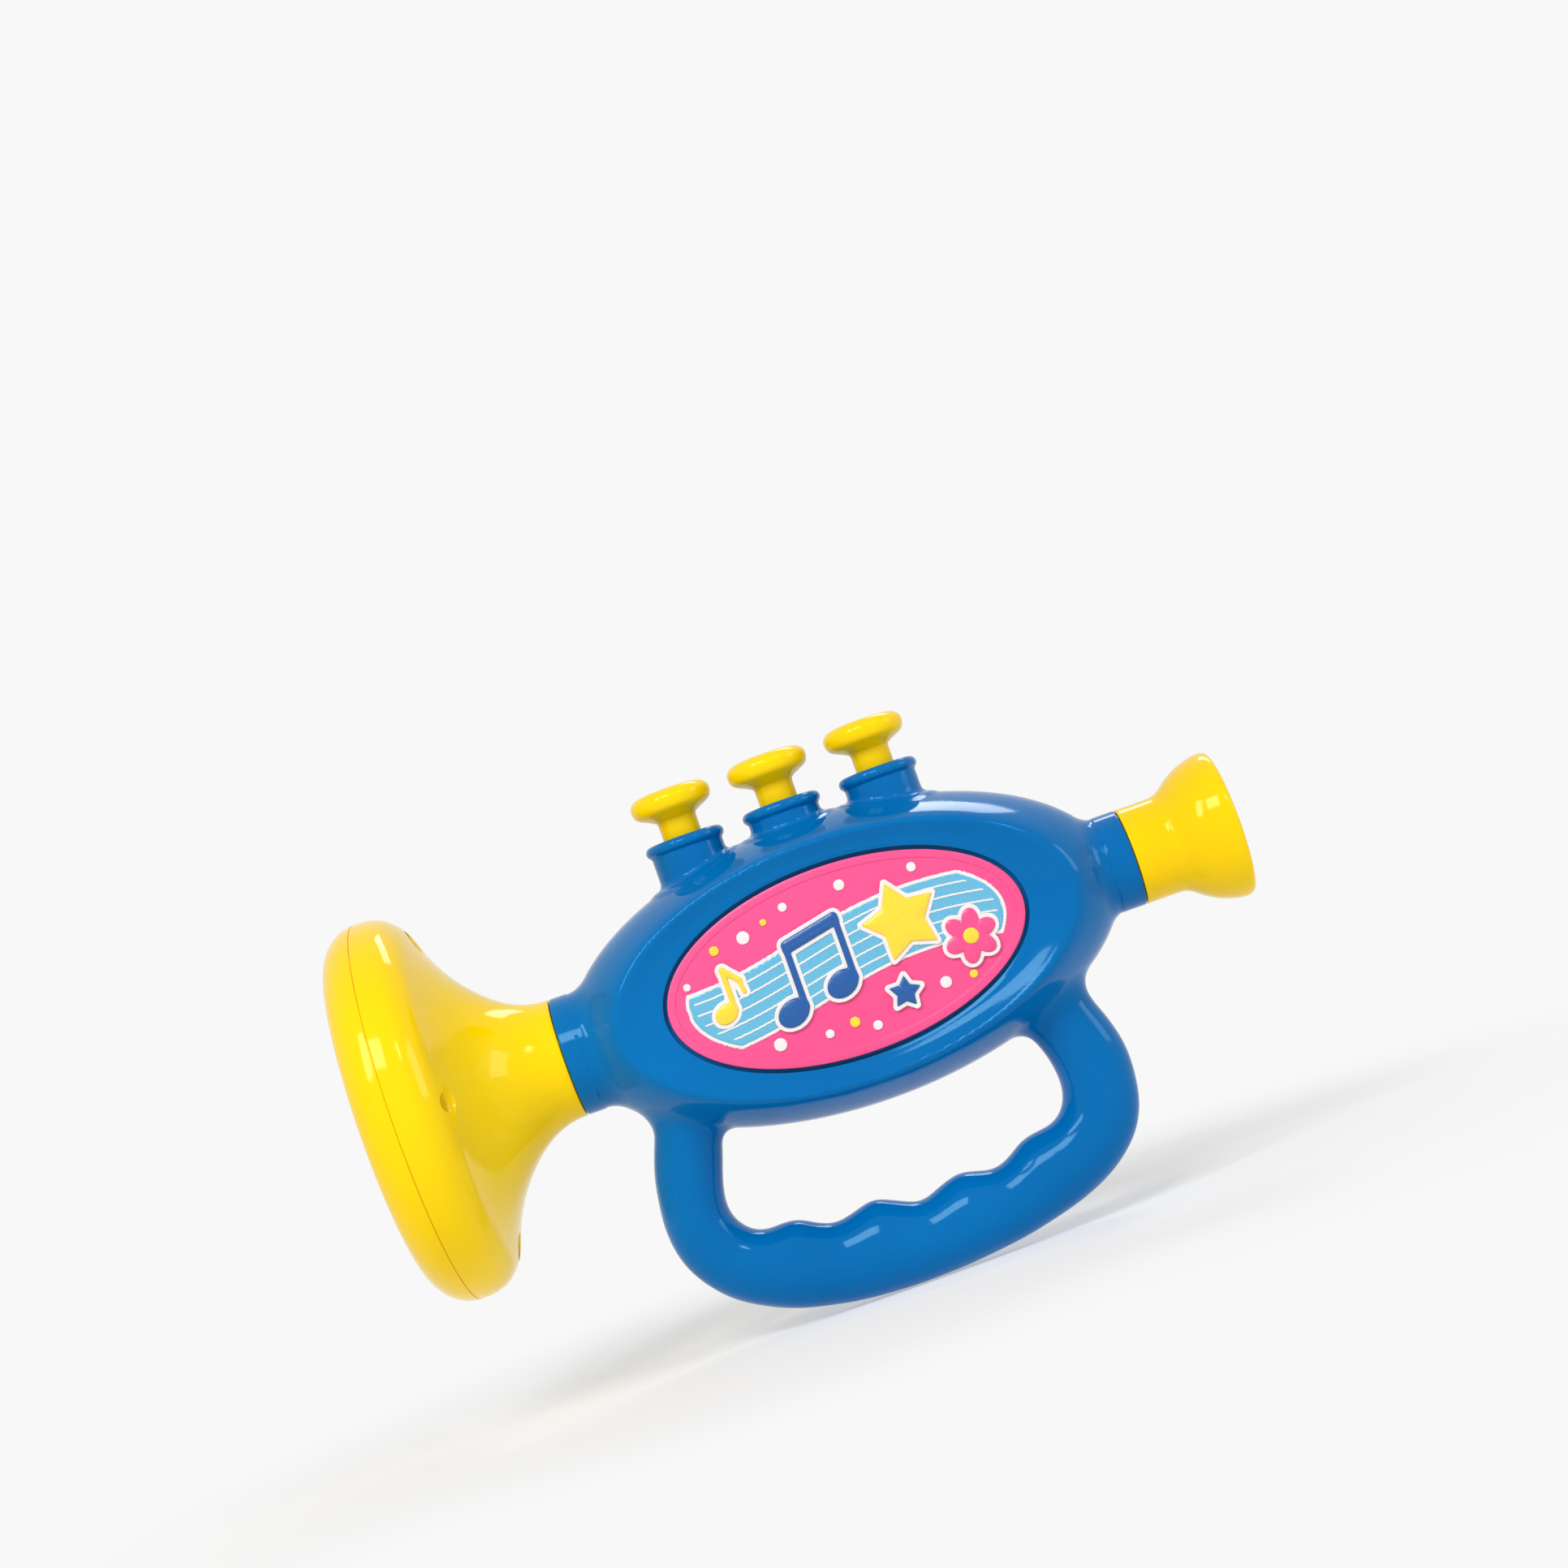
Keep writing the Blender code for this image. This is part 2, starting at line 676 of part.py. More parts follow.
def emblem_panel():
    half_length = RECESS_HALF_LENGTH - PANEL_GAP
    half_height = RECESS_HALF_HEIGHT - PANEL_GAP
    back = PANEL_FACE - PANEL_THICKNESS
    plate = oval("panel", half_length, half_height, back, PANEL_FACE, POD_STEPS)
    field = oval(
        "field",
        half_length - PANEL_BAND,
        half_height - PANEL_BAND,
        PANEL_FACE - PANEL_STEP,
        PANEL_FACE + OVERRUN,
        POD_STEPS,
    )
    plate = cut(plate, field)
    posts = []
    for toward in (-1, 1):
        end = RECESS_FLOOR - WALL - PANEL_POST_LENGTH
        post = rod("post", PANEL_POST_RADIUS, end, back + PANEL_THICKNESS / 2)
        post.data.transform(Matrix.Rotation(math.pi / 2, 4, "X"))
        posts.append(moved(post, toward * RECESS_HALF_LENGTH * PANEL_POST_share))
    finish(joined(plate, *posts), "emblem_panel", PINK, 0.28)


def flare_line():
    rise = BELL_RADIUS - BELL_NECK_RADIUS
    start = BELL_SEAM_X - FIT_GAP
    return [(BELL_NECK_RADIUS + r * rise, start - s * (BELL_LENGTH - FIT_GAP)) for s, r in FLARE_shares]


def bell_places():
    """Middle of each bell screw in Y and Z."""
    ring = BELL_RADIUS * BELL_SCREW_RING_share
    for k in range(BELL_SCREWS):
        angle = 2 * math.pi * k / BELL_SCREWS
        yield -ring * math.cos(angle), ring * math.sin(angle)


def bell_flare():
    seam = BELL_SEAM_X - BELL_LENGTH * BELL_SEAM_share + FIT_GAP / 2
    tip = BELL_SEAM_X + SPIGOT_LENGTH
    spigot = BELL_NECK_RADIUS - WALL - FIT_GAP
    line = flare_line()
    outside = [(0, tip), (spigot, tip), (spigot, line[0][1])] + line
    outside += [(BELL_RADIUS, seam), (0, seam)]
    shell = along_x(turned("flare", outside, BELL_STEPS))
    step = BELL_SEAM_X - HORN_TAIL_share * BELL_LENGTH + FIT_GAP
    inner = [point for point in offset_line(line, -WALL) if point[1] < step - WALL]
    inside = [(0, tip + OVERRUN), (spigot - WALL, tip + OVERRUN), (spigot - WALL, step)]
    inside += [(inner[0][0] - FIT_GAP, step)] + coarse(inner)
    inside += [(BELL_RADIUS - WALL, seam), (BELL_RADIUS - WALL, seam - OVERRUN), (0, seam - OVERRUN)]
    hollow = along_x(turned("flare_inside", inside, BELL_STEPS))
    seat = BELL_SEAM_X - BELL_LENGTH * BELL_SCREW_SEAT_share
    bosses, holes = [], []
    for y, z in bell_places():
        boss = along_x(rod("boss", BOSS_RADIUS + FIT_GAP, seat - WALL, BELL_SEAM_X))
        bosses.append(moved(boss, 0, y, z))
        hole = along_x(rod("hole", PILOT_RADIUS, seat - WALL - OVERRUN, seat + OVERRUN))
        holes.append(moved(hole, 0, y, z))
        head = along_x(rod("counterbore", COUNTERBORE_RADIUS, seat, BELL_SEAM_X))
        holes.append(moved(head, 0, y, z))
    hollow = cut(hollow, *bosses)
    finish(cut(shell, hollow, *holes), "bell_flare", YELLOW, 0.14)


def bell_rim():
    seam = BELL_SEAM_X - BELL_LENGTH * BELL_SEAM_share - FIT_GAP / 2
    tail = BELL_NECK_RADIUS - 2 * WALL - FIT_GAP
    rise = BELL_RADIUS - tail
    line = [(BELL_RADIUS, seam)]
    line += [(tail + r * rise, BELL_SEAM_X - s * BELL_LENGTH) for s, r in RIM_shares]
    line.append((tail, BELL_SEAM_X - HORN_TAIL_share * BELL_LENGTH))
    back = offset_line(line, -WALL)
    lip = BELL_RADIUS - WALL - 2 * FIT_GAP
    root = seam - LIP_LENGTH
    behind = [point for point in back[::-1] if point[1] < root or point[0] < lip - 2 * WALL]
    back = coarse(behind)
    back[0] = (tail + WALL, line[-1][1])
    closing = [
        (lip - LIP_THICKNESS, root + FIT_GAP),
        (lip - LIP_THICKNESS, seam + LIP_LENGTH),
        (lip, seam + LIP_LENGTH),
        (lip, seam),
    ]
    rim = along_x(turned("rim", line + back + closing, BELL_STEPS, closed=True))
    seat = BELL_SEAM_X - BELL_LENGTH * BELL_SCREW_SEAT_share
    bosses, holes = [], []
    for y, z in bell_places():
        low, high = BELL_FRONT_X + WALL - FIT_GAP, seat - WALL - FIT_GAP
        boss = along_x(rod("boss", BOSS_RADIUS, low, high))
        bosses.append(moved(boss, 0, y, z))
        tip = seat - SCREW_LENGTH - 2 * FIT_GAP
        hole = along_x(rod("pilot", PILOT_RADIUS, tip, high + OVERRUN))
        holes.append(moved(hole, 0, y, z))
    rim = cut(joined(rim, *bosses), *holes)
    finish(rim, "bell_rim", YELLOW, 0.14)


def mouthpiece():
    spigot = MOUTH_NECK_RADIUS - WALL - FIT_GAP
    shoulder = MOUTH_SEAM_X + FIT_GAP
    tip = MOUTH_SEAM_X - SPIGOT_LENGTH
    rise = MOUTH_RADIUS - MOUTH_NECK_RADIUS
    line = [(spigot, tip), (spigot, shoulder), (MOUTH_NECK_RADIUS, shoulder)]
    for s, r in CUP_OUTSIDE_shares:
        line.append((MOUTH_NECK_RADIUS + r * rise, MOUTH_SEAM_X + s * MOUTH_LENGTH))
    for s, r in CUP_INSIDE_shares:
        line.append((r * MOUTH_RADIUS, MOUTH_SEAM_X + s * MOUTH_LENGTH))
    line.append((MOUTH_BORE, MOUTH_SEAM_X + CUP_THROAT_share * MOUTH_LENGTH))
    line.append((MOUTH_BORE, MOUTH_SEAM_X + CUP_BORE_share * MOUTH_LENGTH))
    line.append((spigot - WALL, MOUTH_SEAM_X + CUP_BORE_share * MOUTH_LENGTH))
    line.append((spigot - WALL, tip))
    finish(along_x(turned("mouthpiece", line, NECK_STEPS, closed=True)), "mouthpiece", YELLOW, 0.14)


def blow_tube():
    start = VALVE_MIDDLE_X + CHAMBER_HALF_LENGTH - CHAMBER_WALL - LEDGE
    end = MOUTH_SEAM_X + CUP_BORE_share * MOUTH_LENGTH - FIT_GAP
    outer = TUBE_BORE + TUBE_WALL
    flange = MOUTH_NECK_RADIUS - 2 * WALL - 2 * FIT_GAP
    line = [(TUBE_BORE, start), (outer, start), (outer, end - TUBE_FLANGE)]
    line += [(flange, end - TUBE_FLANGE), (flange, end), (TUBE_BORE, end)]
    finish(along_x(turned("tube", line, VALVE_STEPS, closed=True)), "blow_tube", WHITE, 0.4)


def air_chamber():
    left, right = VALVE_MIDDLE_X - CHAMBER_HALF_LENGTH, VALVE_MIDDLE_X + CHAMBER_HALF_LENGTH
    deep, wall = CHAMBER_HALF_DEPTH, CHAMBER_WALL
    inner = wall + LEDGE
    tray = box("tray", (left, -deep, CHAMBER_FLOOR_Z), (right, deep, CHAMBER_TOP_Z))
    upper = box(
        "cells",
        (left + wall, wall - deep, WIND_HALF_HEIGHT),
        (right - wall, deep - wall, CHAMBER_TOP_Z + OVERRUN),
    )
    lower = box(
        "wind",
        (left + inner, inner - deep, -WIND_HALF_HEIGHT),
        (right - inner, deep - inner, WIND_HALF_HEIGHT + wall),
    )
    bore = TUBE_BORE + TUBE_WALL + FIT_GAP
    hole = along_x(rod("hole", bore, right - inner - OVERRUN, right + OVERRUN, VALVE_STEPS))
    finish(cut(tray, upper, lower, hole), "air_chamber", WHITE, 0.4, round_piece=False)


def chamber_lid():
    left, right = VALVE_MIDDLE_X - CHAMBER_HALF_LENGTH, VALVE_MIDDLE_X + CHAMBER_HALF_LENGTH
    deep = CHAMBER_HALF_DEPTH
    lid = box("lid", (left, -deep, LID_UNDER_Z), (right, deep, LID_TOP_Z))
    walls, ports = [], []
    side = deep - CHAMBER_WALL - FIT_GAP
    for toward in (-1, 1):
        x = VALVE_MIDDLE_X + toward * VALVE_PITCH / 2
        low = (x - CHAMBER_WALL / 2, -side, PLATE_TOP_Z + FIT_GAP)
        walls.append(box("wall", low, (x + CHAMBER_WALL / 2, side, LID_UNDER_Z + LID_THICKNESS / 2)))
    for x in VALVE_X:
        ports.append(moved(rod("port", PORT_RADIUS, LID_UNDER_Z - OVERRUN / 2, LID_TOP_Z + OVERRUN), x))
    finish(cut(joined(lid, *walls), *ports), "chamber_lid", WHITE, 0.4, round_piece=False)


def reeds():
    left, right = VALVE_MIDDLE_X - CHAMBER_HALF_LENGTH, VALVE_MIDDLE_X + CHAMBER_HALF_LENGTH
    inset = CHAMBER_WALL + FIT_GAP
    deep = CHAMBER_HALF_DEPTH - inset
    low = (left + inset, -deep, PLATE_TOP_Z - REED_PLATE_THICKNESS)
    plate = box("plate", low, (right - inset, deep, PLATE_TOP_Z))
    slots = []
    slot = REED_WIDTH / 2 + FIT_GAP
    for x in VALVE_X:
        start, end = x - REED_LENGTH / 2 + REED_FOOT, x + REED_LENGTH / 2 + FIT_GAP
        slots.append(
            box(
                "slot",
                (start, -slot, PLATE_TOP_Z - REED_PLATE_THICKNESS - OVERRUN),
                (end, slot, PLATE_TOP_Z + OVERRUN),
            )
        )
    finish(cut(plate, *slots), "reed_plate", STEEL, 0.35, 0.0, round_piece=False)
    base = PLATE_TOP_Z + FIT_GAP
    for k, x in enumerate(VALVE_X):
        start, end = x - REED_LENGTH / 2, x + REED_LENGTH / 2
        tongue = box("tongue", (start, -REED_WIDTH / 2, base), (end, REED_WIDTH / 2, base + REED_THICKNESS))
        foot_top = base + 2 * REED_THICKNESS
        foot = box("foot", (start - FIT_GAP, -REED_WIDTH, base), (start + REED_FOOT, REED_WIDTH, foot_top))
        finish(joined(foot, tongue), f"reed_{k + 1}", BRASS, 0.3, 1.0, round_piece=False)


def plunger_profile():
    rise = CAP_RADIUS - STEM_RADIUS
    profile = [(0, CAP_TOP_Z)]
    profile += [(STEM_RADIUS + r * rise, CAP_FOOT_Z + h * CAP_HEIGHT) for r, h in CAP_shares]
    flange = STEM_RADIUS + FLANGE_OVERHANG
    knob_top = LID_UNDER_Z - FIT_GAP - PAD_THICKNESS - FIT_GAP
    profile += [
        (STEM_RADIUS, CAP_FOOT_Z - GUIDE_THICKNESS / 2),
        (STEM_RADIUS, FLANGE_TOP_Z),
        (flange, FLANGE_TOP_Z),
        (flange, FLANGE_UNDER_Z),
        (ROD_RADIUS, FLANGE_UNDER_Z),
        (ROD_RADIUS, knob_top),
        (KNOB_RADIUS, knob_top),
        (KNOB_RADIUS, knob_top - KNOB_HEIGHT),
        (0, knob_top - KNOB_HEIGHT),
    ]
    return profile


def pad_profile():
    hole, edge = ROD_RADIUS + FIT_GAP, PORT_RADIUS + PAD_OVERHANG
    top = LID_UNDER_Z - FIT_GAP
    return [(hole, top), (edge, top), (edge, top - PAD_THICKNESS), (hole, top - PAD_THICKNESS)]


def spring():
    """A coil spring between the lid and the plunger's flange."""
    radius = STEM_RADIUS - SPRING_INSET
    low = LID_TOP_Z + FIT_GAP + SPRING_WIRE
    high = FLANGE_UNDER_Z - FIT_GAP - SPRING_WIRE
    count = SPRING_TURNS * SPRING_STEPS
    curve = bpy.data.curves.new("spring", "CURVE")
    curve.dimensions = "3D"
    curve.bevel_depth = SPRING_WIRE
    curve.bevel_resolution = 0
    curve.use_fill_caps = True
    line = curve.splines.new("POLY")
    line.points.add(count)
    for k, point in enumerate(line.points):
        angle = 2 * math.pi * k / SPRING_STEPS
        height = low + (high - low) * k / count
        point.co = (radius * math.cos(angle), radius * math.sin(angle), height, 1)
    made = bpy.data.objects.new("spring", curve)
    work.objects.link(made)
    return baked(made, facing_out=True)


def valves():
    for k, x in enumerate(VALVE_X):
        number = k + 1
        axis = bpy.data.objects.new(f"valve_{number}", None)
        parts.objects.link(axis)
        axis.parent = trumpet
        axis.location = (x, 0, 0)
        plunger = turned("plunger", plunger_profile(), VALVE_STEPS)
        finish(plunger, f"valve_plunger_{number}", YELLOW, 0.14, parent=axis)
        pad = turned("pad", pad_profile(), VALVE_STEPS, closed=True)
        finish(pad, f"valve_pad_{number}", RUBBER, 0.8, parent=axis)
        finish(spring(), f"valve_spring_{number}", STEEL, 0.3, 1.0, parent=axis)


def screw():
    """A pan-head screw about Z, its head upwards from the height zero."""
    profile = [
        (0, SCREW_HEAD_HEIGHT),
        (SCREW_HEAD_RADIUS * SCREW_CROWN_share, SCREW_HEAD_HEIGHT),
        (SCREW_HEAD_RADIUS, SCREW_HEAD_HEIGHT / 2),
        (SCREW_HEAD_RADIUS, 0),
        (SCREW_RADIUS, 0),
        (SCREW_RADIUS, -SCREW_LENGTH + SCREW_RADIUS),
        (0, -SCREW_LENGTH),
    ]
    made = turned("screw", profile, SMALL_STEPS)
    long, half = SCREW_HEAD_RADIUS * SCREW_SLOT_share, SLOT_WIDTH / 2
    low, high = SCREW_HEAD_HEIGHT - SLOT_DEPTH, SCREW_HEAD_HEIGHT + SLOT_DEPTH
    slots = [
        box("slot", (-long, -half, low), (long, half, high)),
        box("slot", (-half, -long, low), (half, long, high)),
    ]
    return cut(made, *slots)


def screws():
    for k, (x, z, seat) in enumerate(boss_places()):
        made = moved(along_y(screw()), x, seat + FIT_GAP, z)
        finish(made, f"body_screw_{k + 1}", STEEL, 0.3, 1.0)
    seat = BELL_SEAM_X - BELL_LENGTH * BELL_SCREW_SEAT_share
    for k, (y, z) in enumerate(bell_places()):
        made = moved(along_x(screw()), seat + FIT_GAP, y, z)
        finish(made, f"bell_screw_{k + 1}", STEEL, 0.3, 1.0)


clear_scene()
parts = group("toy_trumpet", False)
work = group("work", True)
trumpet = bpy.data.objects.new("trumpet", None)
parts.objects.link(trumpet)
# The middle of the whole object's box is the origin
trumpet.location = (
    -(BELL_FRONT_X + MOUTH_FACE_X) / 2,
    0,
    -(CAP_TOP_Z - REACH) / 2,
)
body_shells()
emblem_panel()
bell_flare()
bell_rim()
mouthpiece()
blow_tube()
air_chamber()
chamber_lid()
reeds()
valves()
screws()
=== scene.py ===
import math

import bmesh
import bpy
import numpy as np
from mathutils import Matrix, Vector

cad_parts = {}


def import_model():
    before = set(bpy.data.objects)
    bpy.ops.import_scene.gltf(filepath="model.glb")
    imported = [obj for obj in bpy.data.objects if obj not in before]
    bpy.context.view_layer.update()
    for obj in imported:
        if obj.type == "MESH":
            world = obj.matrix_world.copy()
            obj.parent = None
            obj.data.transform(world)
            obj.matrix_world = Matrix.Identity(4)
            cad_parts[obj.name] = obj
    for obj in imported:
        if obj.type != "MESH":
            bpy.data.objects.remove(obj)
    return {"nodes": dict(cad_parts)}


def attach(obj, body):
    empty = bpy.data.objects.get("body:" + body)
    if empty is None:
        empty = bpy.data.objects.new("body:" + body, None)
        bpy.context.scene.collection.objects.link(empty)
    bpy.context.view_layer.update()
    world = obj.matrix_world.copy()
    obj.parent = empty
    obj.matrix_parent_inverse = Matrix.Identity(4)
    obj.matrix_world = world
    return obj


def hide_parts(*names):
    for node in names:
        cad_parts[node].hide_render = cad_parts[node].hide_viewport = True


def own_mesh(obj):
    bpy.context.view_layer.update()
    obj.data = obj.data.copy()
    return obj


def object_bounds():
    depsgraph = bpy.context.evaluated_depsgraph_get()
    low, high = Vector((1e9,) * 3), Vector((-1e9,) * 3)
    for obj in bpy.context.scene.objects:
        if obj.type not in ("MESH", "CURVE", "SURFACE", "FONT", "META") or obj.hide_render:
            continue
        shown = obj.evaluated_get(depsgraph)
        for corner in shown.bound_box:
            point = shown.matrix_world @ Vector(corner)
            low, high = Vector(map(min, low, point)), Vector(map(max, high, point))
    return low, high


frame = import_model()
cad_low, cad_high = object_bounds()

# Shapes are worked out in millimetres from the middle of the oval body, like the solids
MM = 0.001
MIDDLE = np.array([11.7, 0.0, 15.7])

# Sizes shared with the solids, in millimetres
FIT = 0.3
SEAM = 0.2
GROOVE = 0.45
WALL = 2.0
POD_LENGTH, POD_HEIGHT, POD_DEPTH = 83.0, 42.5, 24.0
FACE_DEPTH, PANEL_THICK, FIELD_DROP = 21.0, 2.4, 0.4
FLOOR_DEPTH = FACE_DEPTH - PANEL_THICK - FIT
RECESS_LENGTH, RECESS_HEIGHT = 54.12, 28.3
POST_PLACE = 0.40 * RECESS_LENGTH
BELL_NECK, BELL_SEAM, BELL_BAND = 17.6, -84.8, -79.5
MOUTH_NECK, MOUTH_SEAM, MOUTH_BAND = 14.4, 87.5, 80.2
SPIGOT_REACH = 9.5
BELL_LENGTH, BELL_RADIUS = 56.9, 57.0
BELL_SPLIT = BELL_SEAM - 0.812 * BELL_LENGTH
BELL_RING, BELL_SEAT = BELL_RADIUS * 0.833, BELL_SEAM - 0.675 * BELL_LENGTH
BELL_PLACES = [(-BELL_RING, 0.0), (0.0, BELL_RING), (BELL_RING, 0.0), (0.0, -BELL_RING)]
MOUTH_LENGTH, MOUTH_RADIUS, MOUTH_BORE = 30.8, 21.9, 4.6
GRIP_REACH, GRIP_HALF_DEPTH = 95.2, 10.2
VALVES = [-32.522, -2.822, 26.878]
COLLAR_TOP, COLLAR_RADIUS, COLLAR_DISH = 49.2, 11.0, 0.5
CAP_TOP, CAP_FOOT, CAP_RADIUS = 63.8, 54.9, 12.04
STEM, STEM_HOLE = 5.75, 6.15
FLANGE_TOP, FLANGE_FOOT, PIN, PIN_HEAD = 32.7, 30.7, 1.6, 2.6
PILOT, BOSS, BELL_BOSS = 1.75, 3.8, 4.1
CHAMBER_HALF, SCREW_GAP, SCREW_HEIGHT = 44.55, 9.8, 0.38 * POD_HEIGHT
CASE_SEAT, GRIP_SEAT, GRIP_SCREWS = 7.68, 4.59, (9, 18, 28)
CRADLES = (-36.2, 30.6)

# Sizes of the finish alone: fillets, pads under the collars, waves across the handle, motifs
NECK_FILLET, BAND_FILLET, GRIP_FILLET, COLLAR_FILLET = 2.9, 0.3, 5.5, 1.7
PAD_RADIUS, PAD_HEIGHT = 15.7, 0.5
GRIP_CREST, GRIP_PITCH, GRIP_WAVE = -15.9, 25.9, 0.3
STAVE_RISE, STAVE_PITCH, STAVE_START = 4.6, 21.0, 0.55
FLOWER = (35.4, -5.6)

# Steps round a turned piece
OVAL_SIDES, BELL_SIDES, MOUTH_SIDES, BUTTON_SIDES, PANEL_SIDES = 160, 176, 144, 96, 200
STEM_SIDES, SCREW_SIDES = 72, 40

# Corners of a block or of a table's cell, as shares of its edges
CORNERS = [(a, b, c) for a in (0, 1) for b in (0, 1) for c in (0, 1)]

# Outlines as shares of a length and a width
FRONT_SHARES = [
    (1.0, 0.0), (0.986, 0.25), (0.948, 0.51), (0.897, 0.75), (0.853, 0.915), (0.829, 0.979), (0.811, 1.0),
    (0.795, 0.99), (0.768, 0.96), (0.715, 0.909), (0.66, 0.88), (0.6, 0.875), (0.3, 0.875),
]
REAR_SHARES = [
    (0.25, 1.0), (0.55, 1.0), (0.74, 0.975), (0.835, 0.9), (0.9, 0.76), (0.95, 0.51), (0.987, 0.25),
]
GRIP_SHARES = [
    (-0.545, 0.21, -0.74, 0.13), (-0.59, 0.294, -0.813, 0.231), (-0.605, 0.357, -0.831, 0.305),
    (-0.624, 0.42, -0.855, 0.362), (-0.645, 0.473, -0.88, 0.431), (-0.663, 0.525, -0.896, 0.509),
    (-0.672, 0.578, -0.904, 0.588), (-0.665, 0.618, -0.895, 0.667), (-0.646, 0.649, -0.87, 0.731),
    (-0.614, 0.676, -0.822, 0.797), (-0.572, 0.69, -0.751, 0.86), (-0.506, 0.69, -0.651, 0.913),
    (-0.452, 0.698, -0.548, 0.95), (-0.398, 0.724, -0.47, 0.967), (-0.337, 0.741, -0.386, 0.982),
    (-0.265, 0.73, -0.301, 0.992), (-0.19, 0.7165, -0.217, 0.997), (-0.111, 0.742, -0.133, 1.0),
    (-0.034, 0.766, -0.048, 0.999), (0.048, 0.744, 0.042, 0.996), (0.12, 0.728, 0.133, 0.989),
    (0.181, 0.738, 0.205, 0.982), (0.243, 0.749, 0.277, 0.973), (0.311, 0.728, 0.361, 0.958),
    (0.361, 0.701, 0.44, 0.941), (0.422, 0.688, 0.524, 0.918), (0.476, 0.681, 0.614, 0.883),
    (0.518, 0.66, 0.693, 0.836), (0.546, 0.626, 0.755, 0.779), (0.559, 0.583, 0.796, 0.709),
    (0.557, 0.53, 0.817, 0.615), (0.543, 0.473, 0.817, 0.525), (0.519, 0.42, 0.795, 0.441),
    (0.494, 0.368, 0.765, 0.368), (0.47, 0.294, 0.741, 0.284), (0.43, 0.21, 0.67, 0.15),
]
FLARE_SHARES = [
    (0.0, 0.0), (0.091, 0.015), (0.184, 0.063), (0.25, 0.122), (0.308, 0.19), (0.391, 0.317),
    (0.455, 0.443), (0.505, 0.57), (0.543, 0.696), (0.576, 0.823), (0.619, 0.906), (0.671, 0.965),
    (0.742, 0.995), (0.808, 1.0),
]
RIM_SHARES = [
    (0.816, 1.0), (0.872, 0.985), (0.925, 0.948), (0.966, 0.896), (0.991, 0.842), (1.0, 0.806),
    (1.0, 0.737), (0.988, 0.694), (0.953, 0.645), (0.89, 0.579), (0.79, 0.478), (0.65, 0.354),
    (0.48, 0.224), (0.3, 0.113), (0.16, 0.041), (0.06, 0.0),
]
CUP_OUTSIDE = [
    (0.33, 0.0), (0.375, 0.014), (0.415, 0.062), (0.455, 0.155), (0.495, 0.275), (0.57, 0.5), (0.67, 0.73),
    (0.8, 0.92), (0.92, 1.0), (0.975, 0.96), (0.997, 0.87),
]
CUP_INSIDE = [
    (1.0, 0.925), (0.985, 0.875), (0.94, 0.83), (0.84, 0.745), (0.7, 0.6), (0.57, 0.41), (0.46, 0.26),
]
CAP_SHARES = [
    (0.45, 0.985), (0.7, 0.935), (0.86, 0.86), (0.96, 0.765), (1.0, 0.655), (0.99, 0.53), (0.945, 0.42),
    (0.87, 0.335), (0.76, 0.27), (0.62, 0.215), (0.46, 0.165), (0.3, 0.115), (0.15, 0.06), (0.03, 0.0),
]


def linear(*colour):
    """A colour of 0 to 255 as the shader wants it."""
    shares = [c / 255 / 12.92 if c < 10 else ((c / 255 + 0.055) / 1.055) ** 2.4 for c in colour]
    return tuple(shares) + (1.0,)


# Outlines

def between(first, last, start, end, t):
    """The value at t on the straight run from one at start to one at end."""
    return (end - t) / (end - start) * first + (t - start) / (end - start) * last


def spline(points, steps):
    """A smooth line through points, with steps points a span, that doesn't loop where they crowd."""
    p = np.array(points, float)
    p = np.vstack([2 * p[0] - p[1], p, 2 * p[-1] - p[-2]])
    line = []
    for k in range(1, len(p) - 2):
        near = p[k - 1 : k + 3]
        knots = np.cumsum([0] + [max(np.linalg.norm(v), 1e-6) ** 0.5 for v in np.diff(near, axis=0)])
        for t in np.linspace(knots[1], knots[2], steps, endpoint=False):
            mixed = [between(near[i], near[i + 1], knots[i], knots[i + 1], t) for i in range(3)]
            mixed = [between(mixed[i], mixed[i + 1], knots[i], knots[i + 2], t) for i in range(2)]
            line.append(between(mixed[0], mixed[1], knots[1], knots[2], t))
    line.append(p[-2])
    return [tuple(point) for point in line]


def beside(line, distance):
    """The line a distance to the left of another."""
    p = np.array(line)
    way = np.gradient(p, axis=0)
    way /= np.linalg.norm(way, axis=1)[:, None]
    return [tuple(q) for q in p + distance * np.column_stack([-way[:, 1], way[:, 0]])]


def eased(line, reach):
    """Evens the quick turns of a line out, and keeps its long waves and its ends."""
    step = 0.8
    p = np.array(line)
    run = np.concatenate([[0], np.cumsum(np.linalg.norm(np.diff(p, axis=0), axis=1))])
    places = np.linspace(0, run[-1], round(run[-1] / step) + 1)
    p = np.column_stack([np.interp(places, run, p[:, k]) for k in (0, 1)])
    wide, weight = bell_weights(reach / step)

    def blurred(q):
        longer = np.vstack([2 * q[0] - q[wide:0:-1], q, 2 * q[-1] - q[-2 : -wide - 2 : -1]])
        return np.column_stack([np.convolve(longer[:, k], weight, "valid") for k in (0, 1)])

    return [tuple(q) for q in blurred(2 * p - blurred(p))]


def bell_weights(reach):
    """How far an average reaches in steps, and its weights."""
    wide = round(3 * reach)
    weight = np.exp(-0.5 * (np.arange(-wide, wide + 1) / reach) ** 2)
    return wide, weight / weight.sum()


def gentle(share):
    """A step from 0 to 1 that starts and ends level."""
    share = np.clip(share, 0, 1)
    return share * share * (3 - 2 * share)


